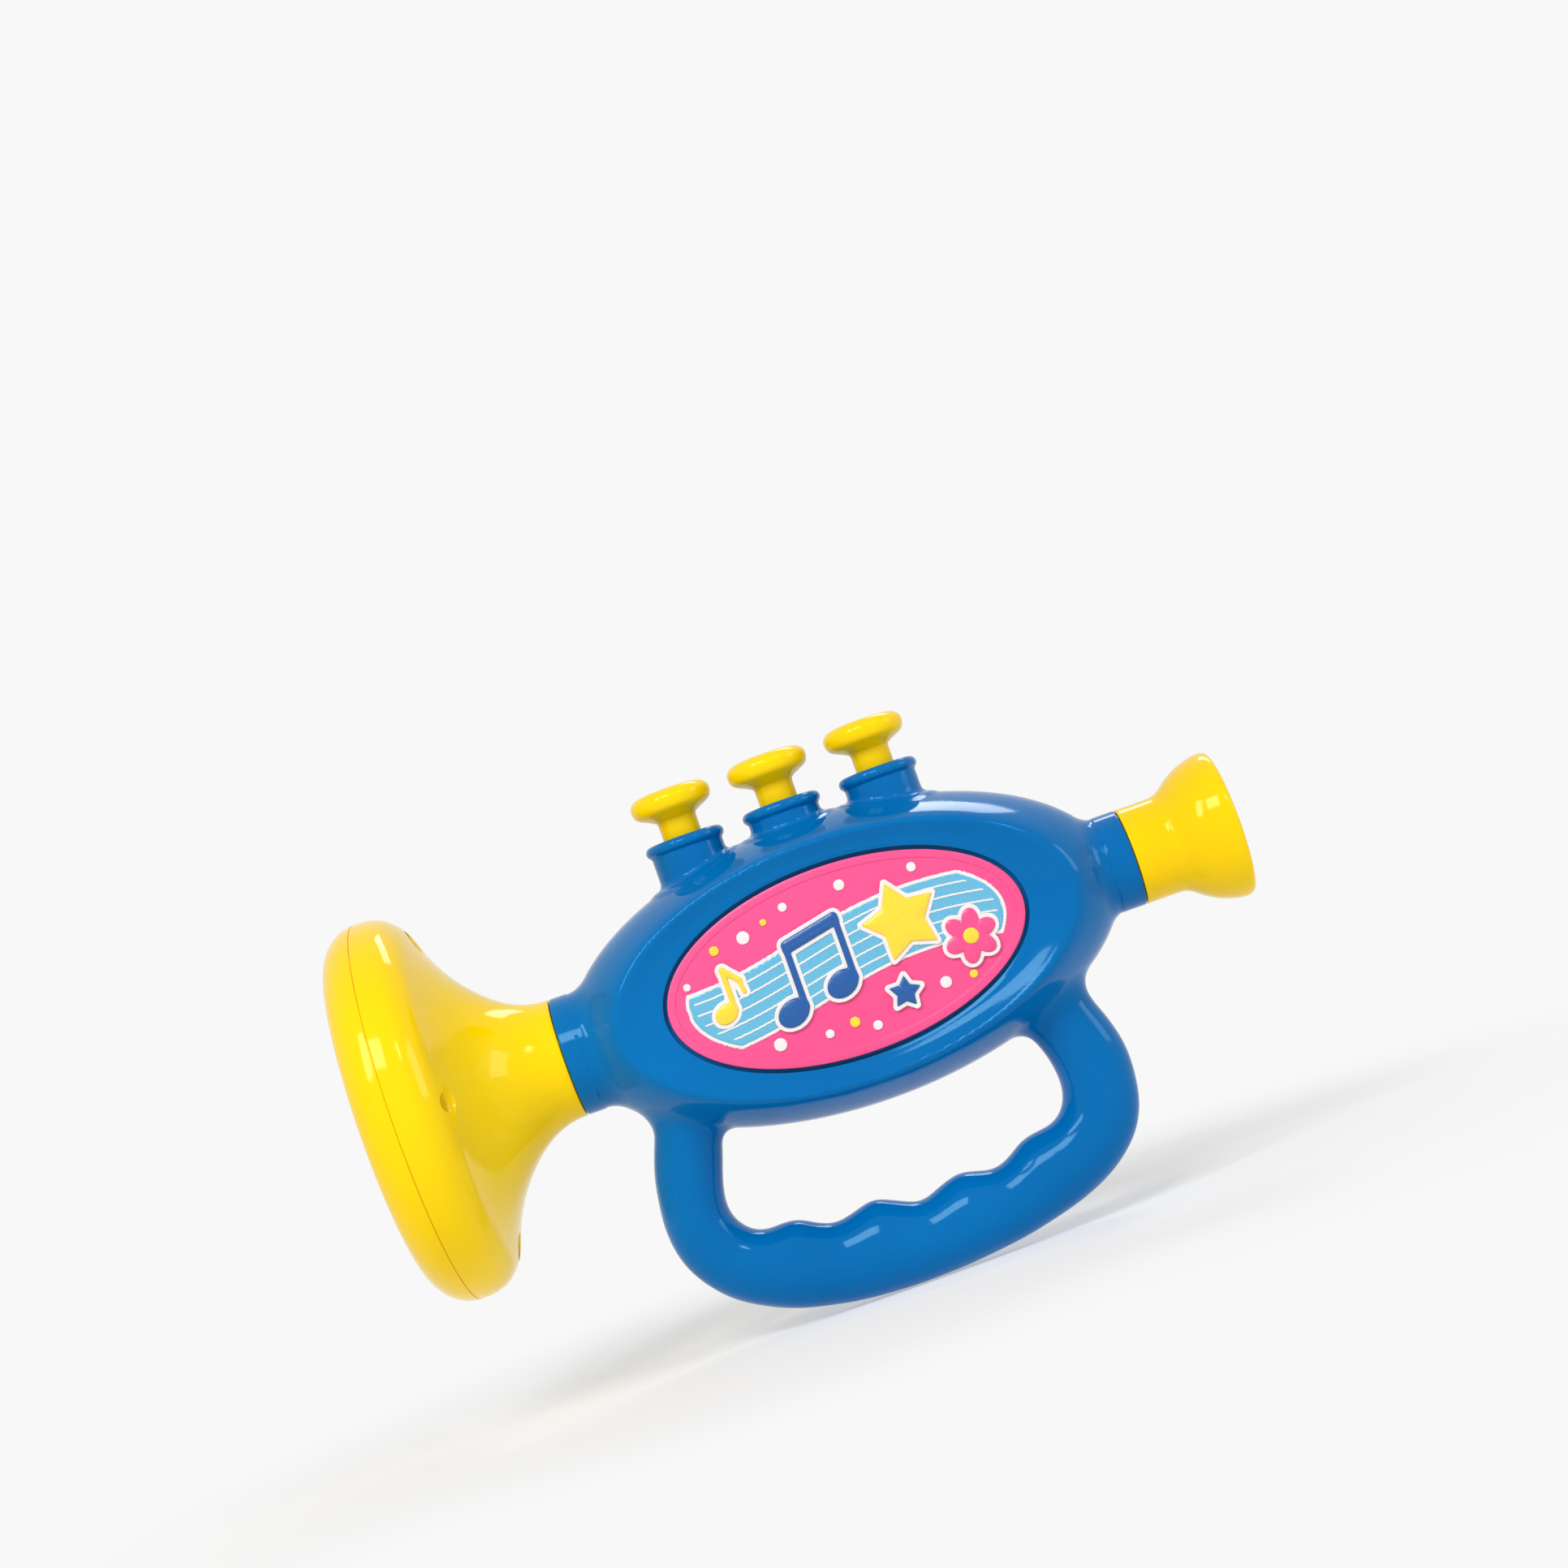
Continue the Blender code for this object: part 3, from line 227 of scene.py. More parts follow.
def rounded(corner, before, after, radius, steps=4):
    """Points that round a corner off."""
    c, b, a = (np.array(v, float) for v in (corner, before, after))
    start = c + (b - c) / np.linalg.norm(b - c) * radius
    end = c + (a - c) / np.linalg.norm(a - c) * radius
    shares = np.linspace(0, 1, steps)
    return [tuple((1 - t) ** 2 * start + 2 * t * (1 - t) * c + t * t * end) for t in shares]


# Fields: distance to a surface, less than zero inside

class Table:
    """Distances to a closed outline, kept on a grid and read with smooth interpolation."""

    def __init__(self, outline, low, high, step, soft=0.0):
        self.low, self.step = np.array(low, float), step
        count = [int(round((h - l) / step)) + 1 for l, h in zip(low, high)]
        axes = [l + step * np.arange(n) for l, n in zip(low, count)]
        grid = np.stack(np.meshgrid(*axes, indexing="ij"), -1).reshape(-1, 2)
        ends = np.array(outline, float)
        starts = np.roll(ends, 1, axis=0)
        near = np.full(len(grid), np.inf)
        inside = np.zeros(len(grid), bool)
        for p, q in zip(starts, ends):
            span = q - p
            share = np.clip(((grid - p) @ span) / max(span @ span, 1e-12), 0, 1)
            gap = grid - p - share[:, None] * span
            near = np.minimum(near, (gap * gap).sum(1))
            if p[1] != q[1]:
                crosses = (p[1] > grid[:, 1]) != (q[1] > grid[:, 1])
                inside ^= crosses & (grid[:, 0] < p[0] + (grid[:, 1] - p[1]) * span[0] / span[1])
        self.values = (np.sqrt(near) * np.where(inside, -1, 1)).reshape(count)
        if soft:
            self.soften(soft)

    def soften(self, soft):
        """Evens the distances out away from the edge, where those to a wavy edge meet in creases."""
        wide, weight = bell_weights(soft / self.step)
        even = self.values
        for axis in (0, 1):
            longer = np.pad(even, [(wide, wide) if k == axis else (0, 0) for k in (0, 1)], "edge")
            even = np.apply_along_axis(np.convolve, axis, longer, weight, "valid")
        kept, reach = 0.3, 5.0
        self.values += gentle((np.abs(self.values) - kept) / reach) * (even - self.values)

    def __call__(self, a, b):
        size = self.values.shape
        u = np.clip((a - self.low[0]) / self.step, 1, size[0] - 2.001)
        v = np.clip((b - self.low[1]) / self.step, 1, size[1] - 2.001)
        i, j = u.astype(int), v.astype(int)
        s, t = u - i, v - j
        total = 0.0
        for m, ws in zip((-1, 0, 1, 2), self.weights(s)):
            row = 0.0
            for n, wt in zip((-1, 0, 1, 2), self.weights(t)):
                row = row + wt * self.values[i + m, j + n]
            total = total + ws * row
        return total

    @staticmethod
    def weights(t):
        return (
            ((-t + 2) * t - 1) * t / 2,
            ((3 * t - 5) * t * t + 2) / 2,
            ((-3 * t + 4) * t + 1) * t / 2,
            (t - 1) * t * t / 2,
        )


def blended(a, b, reach):
    """The union of two fields with a fillet."""
    h = np.clip(0.5 + 0.5 * (b - a) / reach, 0, 1)
    return b + (a - b) * h - reach * h * (1 - h)


def pod_outline():
    front = [(r * POD_HEIGHT, -d * POD_DEPTH) for r, d in reversed(FRONT_SHARES)]
    rear = [(r * POD_HEIGHT, d * POD_DEPTH) for r, d in reversed(REAR_SHARES)]
    side = [(0.0, front[0][1])] + spline(front + rear, 10) + [(0.0, rear[-1][1])]
    return side + [(-r, d) for r, d in reversed(side[1:-1])]


def grip_outline(first, second):
    """One edge of the handle, closed through the body, well clear of what shows."""
    # A hair short of the solids' edge, because the smooth line swings out a little past its points
    reach = GRIP_REACH - 0.08
    line = eased(spline([(s[first] * POD_LENGTH, -s[second] * reach) for s in GRIP_SHARES], 6), 2.2)
    rise = 34.0

    def onward(end, other):
        way = np.array(end) - other
        return tuple(end + way / abs(way[1]) * rise)

    return [onward(*line[:2])] + line + [onward(*line[:-3:-1])]


def collar_outline():
    """A straight tube with a rolled lip."""
    tube, roll, top = COLLAR_RADIUS - 0.25, 1.8, COLLAR_TOP
    out, up = COLLAR_RADIUS + 0.9 - roll, top - roll
    turns = np.linspace(-1.2, 1.75, 28)
    side = [(tube, 20.0)] + [(out + roll * math.cos(a), up + roll * math.sin(a)) for a in turns]
    side += [(8.9, top - 0.3), (8.2, top - COLLAR_DISH), (0.0, top - COLLAR_DISH)]
    return side + [(-a, b) for a, b in reversed(side)]


pod_table = Table(pod_outline(), (-2.0, -36.0), (64.0, 36.0), 0.25)
inner_table, outer_table = [
    Table(grip_outline(*edge), (-96.0, -106.0), (92.0, 6.0), 0.5, 2.6) for edge in ((0, 1), (2, 3))
]
collar_table = Table(collar_outline(), (-1.0, 24.0), (32.0, 62.0), 0.25)


def oval_share(x, z):
    """How far out a point lies in the pod's oval, as a share of the edge."""
    return np.sqrt((x / POD_LENGTH) ** 2 + (z / POD_HEIGHT) ** 2)


def pod_field(x, y, z):
    spread = oval_share(x, z) + 1e-9
    value = pod_table(spread * POD_HEIGHT, y)
    # The table is stretched along X, so its distance is brought back to about the real one
    slant = np.hypot(x / POD_LENGTH ** 2, z / POD_HEIGHT ** 2) / spread * POD_HEIGHT
    outward = np.clip((spread - 0.78) / 0.22, 0, 1)
    return value / np.where(slant > 0, 1 + (slant - 1) * outward, 1)


def grip_field(x, y, z):
    inner = inner_table(x, z)
    outer = -outer_table(x, z)
    half = np.maximum((inner + outer) / 2, 2.0)
    lateral = (inner - outer) / 2 / half
    # The dips for the fingers run on across the front and the back, and fade out over 10 mm
    left, right, top, fade = -50, 46, -60, 10
    fingers = gentle((x - left) / fade) * gentle((right - x) / fade) * gentle((top - z) / fade)
    dip = GRIP_WAVE * (1 - np.cos(2 * math.pi * (x - GRIP_CREST) / GRIP_PITCH)) * fingers
    depth = GRIP_HALF_DEPTH - dip
    size = np.sqrt(lateral ** 2 + (y / depth) ** 2) + 1e-9
    slant = np.sqrt((lateral / half) ** 2 + (y / depth ** 2) ** 2) / size
    return (size - 1) / np.maximum(slant, 1e-6)


def body_field(x, y, z):
    """The outside of the body with its necks, handle and collars."""
    round_x = np.hypot(y, z)
    shape = pod_field(x, y, z)
    for toward, radius, start, step in ((-1, BELL_NECK, BELL_BAND, 0.2), (1, MOUTH_NECK, MOUTH_BAND, 0.4)):
        neck = np.maximum(round_x - (radius - step), -toward * x + 40)
        shape = blended(shape, neck, NECK_FILLET)
        band = np.maximum(round_x - radius, toward * (start - x))
        shape = blended(shape, band, BAND_FILLET)
    grip_top, far = 2, 40.0
    grip = np.where(z < grip_top, grip_field(x, y, np.minimum(z, grip_top)), far)
    shape = blended(shape, grip, GRIP_FILLET)
    for valve in VALVES:
        # Each collar starts inside the pod and stands on a low round pad
        away, foot = np.hypot(x - valve, y), 28
        shape = shape - PAD_HEIGHT * gentle((PAD_RADIUS - away) / 2.7) * gentle((z - 26) / 2)
        shape = blended(shape, np.maximum(collar_table(away, np.maximum(z, 25)), foot - z), COLLAR_FILLET)
    # The necks run on a little past their seams, where the shells are cut off square
    return np.maximum(shape, np.maximum(BELL_SEAM - 2 - x, x - MOUTH_SEAM - 2))


def hollow_field(x, y, z):
    """The space inside the shells, less the recess, the screw bosses, the cradles and the stem guides."""
    space = body_field(np.clip(x, BELL_SEAM, MOUTH_SEAM), y, z) + WALL
    space = np.maximum(space, np.maximum(BELL_SEAM - 4 - x, x - MOUTH_SEAM - 4))
    behind = np.maximum(oval_share(x, z) * POD_HEIGHT - RECESS_HEIGHT - WALL, -y - 60)
    space = np.maximum(space, -np.maximum(behind, y + FLOOR_DEPTH - WALL))
    for px, pz, _ in screw_places():
        space = np.maximum(space, BOSS - np.hypot(x - px, z - pz))
    middle, half, notch, notch_top = 2.3, 14.4, 10.3, -7.1
    for px in CRADLES:
        rib = np.maximum(np.abs(x - px) - WALL / 2, np.abs(z - middle) - half)
        rib = np.maximum(rib, -np.maximum(np.abs(y) - notch, notch_top - z))
        space = np.maximum(space, -rib)
    guide_half, guide_height = 10.0, 34.0
    for px in VALVES:
        guide = np.maximum(np.abs(x - px) - guide_half, np.abs(z - guide_height) - WALL / 2)
        space = np.maximum(space, -guide)
    return space


def screw_places():
    """Middle of each body screw in X and Z, and the depth of its seat."""
    ends = (VALVES[1] - CHAMBER_HALF - SCREW_GAP, VALVES[1] + CHAMBER_HALF + SCREW_GAP)
    found = [(x, z, CASE_SEAT) for x in ends for z in (SCREW_HEIGHT, -SCREW_HEIGHT)]
    for k in GRIP_SCREWS:
        a, b, c, d = GRIP_SHARES[k]
        found.append(((a + c) / 2 * POD_LENGTH, -(b + d) / 2 * GRIP_REACH, GRIP_SEAT))
    return found


# Meshes

def net(field, low, high, step):
    """Points and four-sided faces on the zero level of a field (surface nets)."""
    axes = [np.arange(l, h + step, step) for l, h in zip(low, high)]
    shape = tuple(len(a) for a in axes)
    values = np.empty(shape, np.float32)
    slab = 8
    for k in range(0, shape[0], slab):
        x, y, z = np.meshgrid(axes[0][k : k + slab], axes[1], axes[2], indexing="ij")
        values[k : k + slab] = field(x, y, z)
    inside = values < 0
    count = np.zeros(tuple(n - 1 for n in shape), np.int8)
    for a, b, c in CORNERS:
        count += inside[a : shape[0] - 1 + a, b : shape[1] - 1 + b, c : shape[2] - 1 + c]
    cells = np.argwhere((count > 0) & (count < 8))
    index = np.full(count.shape, -1, np.int64)
    index[tuple(cells.T)] = np.arange(len(cells))
    total = np.zeros((len(cells), 3))
    hits = np.zeros(len(cells))
    for axis in range(3):
        for corner in [c for c in CORNERS if not c[axis]]:
            start = cells + np.array(corner)
            end = start.copy()
            end[:, axis] += 1
            a, b = values[tuple(start.T)], values[tuple(end.T)]
            crossing = (a < 0) != (b < 0)
            share = np.where(crossing, a / np.where(crossing, a - b, 1), 0)
            point = start.astype(float)
            point[:, axis] += share
            total += point * crossing[:, None]
            hits += crossing
    points = total / hits[:, None] * step + np.array([a[0] for a in axes])
    faces = []
    for axis in range(3):
        one, two = (axis + 1) % 3, (axis + 2) % 3
        edges = np.argwhere(np.diff(inside, axis=axis))
        edges = edges[(edges[:, one] > 0) & (edges[:, two] > 0)]
        ring = []
        for back in ((1, 1), (0, 1), (0, 0), (1, 0)):
            cell = edges.copy()
            cell[:, [one, two]] -= back
            ring.append(index[tuple(np.minimum(cell, np.array(index.shape) - 1).T)])
        quads = np.stack(ring, 1)
        flipped = ~inside[tuple(edges.T)]
        quads[flipped] = quads[flipped][:, ::-1]
        faces.append(quads)
    return points, np.concatenate(faces)


def slope(field, points):
    """The field at some points, and its gradient."""
    reach = 0.03
    way = [field(*(points + step).T) - field(*(points - step).T) for step in reach * np.eye(3)]
    return field(*points.T), np.stack(way, 1) / (2 * reach)


def settled(field, points, faces, rounds):
    """Evens the faces out and puts each point on the surface."""
    evening, furthest = 0.6, 0.6
    for step in range(rounds + 1):
        if step < rounds:
            total = np.zeros_like(points)
            shared = np.zeros(len(points))
            for k in range(4):
                for other in (faces[:, (k + 1) % 4], faces[:, (k + 3) % 4]):
                    np.add.at(total, faces[:, k], points[other])
                    np.add.at(shared, faces[:, k], 1)
            points = points + evening * (total / shared[:, None] - points)
        for _ in range(2 if step == rounds else 1):
            here, way = slope(field, points)
            move = here[:, None] * way / np.maximum((way * way).sum(1), 0.05)[:, None]
            points = points - np.clip(move, -furthest, furthest)
    return points


def linked(name, data):
    obj = bpy.data.objects.new(name, data)
    bpy.context.scene.collection.objects.link(obj)
    return obj


def placed(name, points, faces):
    """An object from points in millimetres."""
    mesh = bpy.data.meshes.new(name)
    mesh.from_pydata(((np.asarray(points, float) + MIDDLE) * MM).tolist(), [], [list(f) for f in faces])
    mesh.validate()
    return linked(name, mesh)


def from_field(name, field, low, high, step, rounds):
    points, faces = net(field, low, high, step)
    return placed(name, settled(field, points, faces, rounds), faces)


def between_rings(count, steps, closed):
    """Four-sided faces between rings of points that follow each other."""
    faces = []
    for k in range(count if closed else count - 1):
        a, b = k * steps, (k + 1) % count * steps
        faces += [(a + n, a + (n + 1) % steps, b + (n + 1) % steps, b + n) for n in range(steps)]
    return faces


def turned(name, profile, steps, axis, at=(0.0, 0.0, 0.0)):
    """A profile of (radius, height) turned about an axis, closed on itself or on the axis at both ends."""
    profile = np.array(profile, float)
    poles = profile[0, 0] == 0 and profile[-1, 0] == 0
    rings = profile[1:-1] if poles else profile
    angle = 2 * math.pi * np.arange(steps) / steps
    flat = np.stack([np.outer(rings[:, 0], np.cos(angle)), np.outer(rings[:, 0], np.sin(angle)),
                     np.repeat(rings[:, 1:], steps, 1)], -1).reshape(-1, 3)
    count = len(rings)
    faces = between_rings(count, steps, not poles)
    if poles:
        flat = np.vstack([flat, [0, 0, profile[0, 1]], [0, 0, profile[-1, 1]]])
        first, last, end = count * steps, count * steps + 1, (count - 1) * steps
        faces += [(first, (n + 1) % steps, n) for n in range(steps)]
        faces += [(end + n, end + (n + 1) % steps, last) for n in range(steps)]
    order = {"X": [2, 0, 1], "Y": [1, 2, 0], "Z": [0, 1, 2]}[axis]
    obj = placed(name, flat[:, order] + np.array(at), faces)
    shape = bmesh.new()
    shape.from_mesh(obj.data)
    bmesh.ops.recalc_face_normals(shape, faces=shape.faces)
    shape.to_mesh(obj.data)
    shape.free()
    return obj


def bar(name, radius, low, high, axis, at, steps=32):
    return turned(name, [(0, low), (radius, low), (radius, high), (0, high)], steps, axis, at)


def well(seat, face, depth, axis, at):
    """Cutter for a screw's counterbore and pilot, with the rim of the well eased."""
    bore, ease, top = 2.9, 0.4, face + 20
    wide = bore + ease + 1.5
    profile = [(0, seat - depth), (PILOT, seat - depth), (PILOT, seat), (bore, seat), (bore, face - ease)]
    profile += [(bore + 0.12, face - 0.12), (bore + ease, face + 0.08), (wide, face + 0.9), (wide, top)]
    return turned("well", profile + [(0, top)], SCREW_SIDES, axis, at)


def together(objects):
    """Makes one object of several that keep clear of each other."""
    shape = bmesh.new()
    for obj in objects:
        shape.from_mesh(obj.data)
    first = objects[0]
    shape.to_mesh(first.data)
    shape.free()
    for obj in objects[1:]:
        bpy.data.objects.remove(obj)
    return first


def block(name, low, high):
    low, high = np.array(low, float), np.array(high, float)
    points = [low + (high - low) * np.array(c) for c in CORNERS]
    faces = [(0, 1, 3, 2), (4, 6, 7, 5), (0, 4, 5, 1), (2, 3, 7, 6), (0, 2, 6, 4), (1, 5, 7, 3)]
    return placed(name, points, faces)


def combined(target, operation, *others):
    """Joins, cuts or trims one object with others, which are then removed."""
    for other in others:
        change = target.modifiers.new("change", "BOOLEAN")
        change.operation = operation
        change.solver = "MANIFOLD"
        change.object = other
        graph = bpy.context.evaluated_depsgraph_get()
        mesh = bpy.data.meshes.new_from_object(target.evaluated_get(graph))
        target.modifiers.clear()
        old = target.data
        target.data = mesh
        bpy.data.meshes.remove(old)
        bpy.data.objects.remove(other)
    return target


def smooth(obj, angle=35.0):
    obj.data.polygons.foreach_set("use_smooth", [True] * len(obj.data.polygons))
    obj.data.set_sharp_from_angle(angle=math.radians(angle))
    return obj


def read(items, key, width, kind=float):
    """One value of every vertex, corner or face."""
    values = np.empty((len(items), width), kind)
    items.foreach_get(key, values.ravel())
    return values


def exact_shading(obj, field):
    """Shades the faces that lie on a field by the field itself, so that reflections run true."""
    on_surface, aligned = 0.02, 0.8
    smooth(obj)
    mesh = obj.data
    here, way = slope(field, read(mesh.vertices, "co", 3) / MM - MIDDLE)
    way /= np.linalg.norm(way, axis=1)[:, None]
    corner = read(mesh.loops, "vertex_index", 1, int)[:, 0]
    normals = read(mesh.corner_normals, "vector", 3)
    sides = read(mesh.polygons, "loop_total", 1, int)[:, 0]
    facing = np.repeat(read(mesh.polygons, "normal", 3), sides, 0)
    on = (np.abs(here[corner]) < on_surface) & ((facing * way[corner]).sum(1) > aligned)
    face = np.repeat(np.arange(len(sides)), sides)
    whole = np.ones(len(sides), bool)
    whole[face[~on]] = False
    on &= whole[face]
    normals[on] = way[corner][on]
    mesh.normals_split_custom_set(normals.tolist())


def coat(obj, material):
    obj.data.materials.clear()
    obj.data.materials.append(material)


def finish(obj, name, material, replaces=(), body="housing"):
    """Gives a piece its name, its material and its place in the frame."""
    obj.name = name
    coat(obj, material)
    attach(obj, body)
    if replaces:
        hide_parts(*replaces)


# Materials

class Nodes:
    """A node tree being put together."""

    def __init__(self, owner):
        owner.use_nodes = True
        self.tree = owner.node_tree

    def add(self, kind, **values):
        return self.filled(self.tree.nodes.new(kind), values)

    @staticmethod
    def filled(node, values):
        for key, value in values.items():
            if hasattr(node, key):
                setattr(node, key, value)
            else:
                node.inputs[key.replace("_", " ")].default_value = value
        return node

    def join(self, output, target):
        self.tree.links.new(output, target)

    def end(self, share, first, last, kind):
        """Mixes two shaders by a share and joins them to the tree's output."""
        mix = self.add("ShaderNodeMixShader")
        for output, target in zip((share, first.outputs[0], last.outputs[0]), mix.inputs):
            self.join(output, target)
        self.join(mix.outputs[0], self.add(kind).inputs["Surface"])


class Surface(Nodes):
    """A material on the principled shader that it starts with."""

    def __init__(self, name, **values):
        self.material = bpy.data.materials.new(name)
        super().__init__(self.material)
        self.inputs = self.filled(self.tree.nodes["Principled BSDF"], values).inputs
        self.place = self.add("ShaderNodeTexCoord").outputs["Object"]

    def finished(self, colour, rough, normal):
        for key, value in (("Base Color", colour), ("Roughness", rough), ("Normal", normal)):
            self.join(value, self.inputs[key])
        return self.material

    def noise(self, scale, detail):
        node = self.add("ShaderNodeTexNoise", Scale=scale, Detail=detail)
        self.join(self.place, node.inputs["Vector"])
        return node.outputs["Fac"]

    def ramp(self, value, low, high, first, last):
        node = self.add("ShaderNodeMapRange", From_Min=low, From_Max=high, To_Min=first, To_Max=last)
        self.join(value, node.inputs["Value"])
        return node.outputs["Result"]

    def colours(self, value, first, last):
        node = self.add("ShaderNodeMix", data_type="RGBA")
        sockets = [s for s in node.inputs if s.name in ("A", "B") and s.type == "RGBA"]
        sockets[0].default_value, sockets[1].default_value = linear(*first), linear(*last)
        self.join(value, node.inputs["Factor"])
        return [s for s in node.outputs if s.type == "RGBA"][0]

    def bump(self, value, strength, distance, before=None):
        node = self.add("ShaderNodeBump", Strength=strength, Distance=distance)
        self.join(value, node.inputs["Height"])
        if before:
            self.join(before, node.inputs["Normal"])
        return node.outputs["Normal"]


def plastic(name, light, dark, rough, level, grain=0.0, tint=(1.0, 1.0, 1.0, 1.0)):
    """Moulded plastic: slow flow marks in its colour, uneven gloss and a faint skin."""
    made = Surface(name, Specular_IOR_Level=level, IOR=1.5, Specular_Tint=tint)
    scales = ((14.0, 3.0), (220.0, 4.0), (38.0, 1.0), (1400.0, 2.0))
    flow, wear, skin, fine = [made.noise(*scale) for scale in scales]
    colour = made.colours(made.ramp(flow, 0.35, 0.65, 0.0, 1.0), light, dark)
    gloss = made.ramp(wear, 0.3, 0.7, rough - 0.02, rough + 0.04)
    skin = made.bump(skin, 0.15, 0.0002)
    return made.finished(colour, gloss, made.bump(fine, 0.05 + grain, 0.00002, skin))


def painted(name, light, dark):
    """Sprayed paint on the raised emblem: fine speckle under a soft gloss."""
    made = Surface(name)
    speckle = made.noise(5200.0, 2.0)
    colour = made.colours(made.ramp(speckle, 0.36, 0.64, 0.0, 1.0), light, dark)
    gloss = made.ramp(made.noise(500.0, 2.0), 0.3, 0.7, 0.14, 0.24)
    return made.finished(colour, gloss, made.bump(speckle, 0.15, 0.00002))


def metal(name, light, dark, rough):
    """Bare metal with a fine grain in its colour and gloss."""
    made = Surface(name, Metallic=1.0)
    grain = made.noise(900.0, 3.0)
    gloss = made.ramp(grain, 0.3, 0.7, rough - 0.06, rough + 0.08)
    return made.finished(made.colours(grain, light, dark), gloss, made.bump(grain, 0.2, 0.00003))


blue = plastic("blue_plastic", (0, 109, 178), (0, 103, 171), 0.08, 0.2, tint=(0.4, 0.8, 1.0, 1.0))
yellow = plastic("yellow_plastic", (255, 215, 3), (252, 208, 0), 0.08, 0.24, tint=(1.0, 0.9, 0.5, 1.0))
pink = plastic("pink_plastic", (247, 88, 146), (243, 80, 139), 0.26, 0.3, grain=0.1)
white = plastic("white_plastic", (238, 238, 232), (228, 228, 222), 0.35, 0.4)
rubber = plastic("dark_rubber", (44, 44, 46), (34, 34, 36), 0.6, 0.3)
steel = metal("zinc_steel", (206, 208, 212), (176, 178, 184), 0.30)
brass = metal("reed_brass", (222, 190, 120), (196, 160, 92), 0.32)
blue_paint = painted("blue_paint", (18, 96, 172), (10, 72, 142))
yellow_paint = painted("yellow_paint", (255, 222, 62), (246, 204, 40))
white_paint = painted("white_paint", (246, 240, 236), (228, 222, 220))
pink_paint = painted("pink_paint", (248, 84, 146), (236, 64, 128))
sky_paint = painted("sky_paint", (112, 192, 222), (84, 166, 204))


# Body shells

def body_shells():
    low, high = (-90.0, -26.4, -98.2), (93.0, 26.4, 52.2)
    outer = from_field("outer", body_field, low, high, 0.8, 2)
    inner = from_field("inner", hollow_field, low, high, 1.4, 0)
    edge, face, clear = RECESS_HEIGHT, -FACE_DEPTH, -40.0
    lip = [(0, -FLOOR_DEPTH), (edge, -FLOOR_DEPTH), (edge, face + 0.25), (edge + 0.07, face + 0.07)]
    lip += [(edge + 0.25, face - 0.03), (edge + 0.9, face - 0.3), (edge + 1.0, clear), (0, clear)]
    holes = [stretched(turned("recess", lip, OVAL_SIDES, "Y"), RECESS_LENGTH / RECESS_HEIGHT)]
    top = COLLAR_TOP - COLLAR_DISH
    bore = [(0, 20.0), (STEM_HOLE, 20.0), (STEM_HOLE, top - 0.35), (STEM_HOLE + 0.12, top - 0.1)]
    bore += [(STEM_HOLE + 0.45, top + 0.1), (STEM_HOLE + 0.6, top + 20), (0, top + 20)]
    holes += [turned("stem", bore, STEM_SIDES, "Z", (x, 0, 0)) for x in VALVES]
    holes += [well(seat, surface_depth(x, z), 11.9, "Y", (x, 0, z)) for x, z, seat in screw_places()]
    posts = [bar("post", 2.3, -FLOOR_DEPTH - 1, -12.0, "Y", (side * POST_PLACE, 0, 0)) for side in (-1, 1)]
    front = combined(outer, "DIFFERENCE", inner, together(holes), together(posts))
    rear = linked("rear", front.data.copy())
    for obj, name, side in ((front, "front", -1), (rear, "rear", 1)):
        combined(obj, "INTERSECT", half_space(side))
        exact_shading(obj, body_field)
        finish(obj, name + "_shell", blue, ["body_shell_" + name])


def neck_end(radius, seam, inward):
    """Profile of what trims a neck's end, with the neck's edge rounded off."""
    edge, wide = [(-0.45, 0.0), (-0.14, 0.13), (0.0, 0.45), (0.25, 1.2)], 110.0
    return [(0, seam)] + [(radius + r, seam + inward * x) for r, x in edge] + [(wide, seam + inward * 1.3)]


def half_space(side):
    """What trims a shell at the parting plane and at the ends of the necks."""
    profile = neck_end(BELL_NECK, BELL_SEAM, 1) + neck_end(MOUTH_NECK, MOUTH_SEAM, -1)[::-1]
    trim = turned("trim", profile, OVAL_SIDES, "X")
    low, high = sorted((side * FIT / 2, side * 60))
    return combined(trim, "INTERSECT", block("half", (-120, low, -120), (120, high, 120)))


def surface_depth(x, z):
    """Where the rear of the body lies behind a point of the middle plane."""
    y = np.linspace(0, 30, 601)
    inside = body_field(np.full_like(y, x), y, np.full_like(y, z)) < 0
    return float(y[inside].max())


def stretched(obj, share):
    """Stretches a turned shape along X into an oval."""
    shift = Matrix.Translation(Vector(MIDDLE * MM))
    obj.data.transform(shift @ Matrix.Diagonal((share, 1, 1, 1)) @ shift.inverted())
    return obj


# Bell

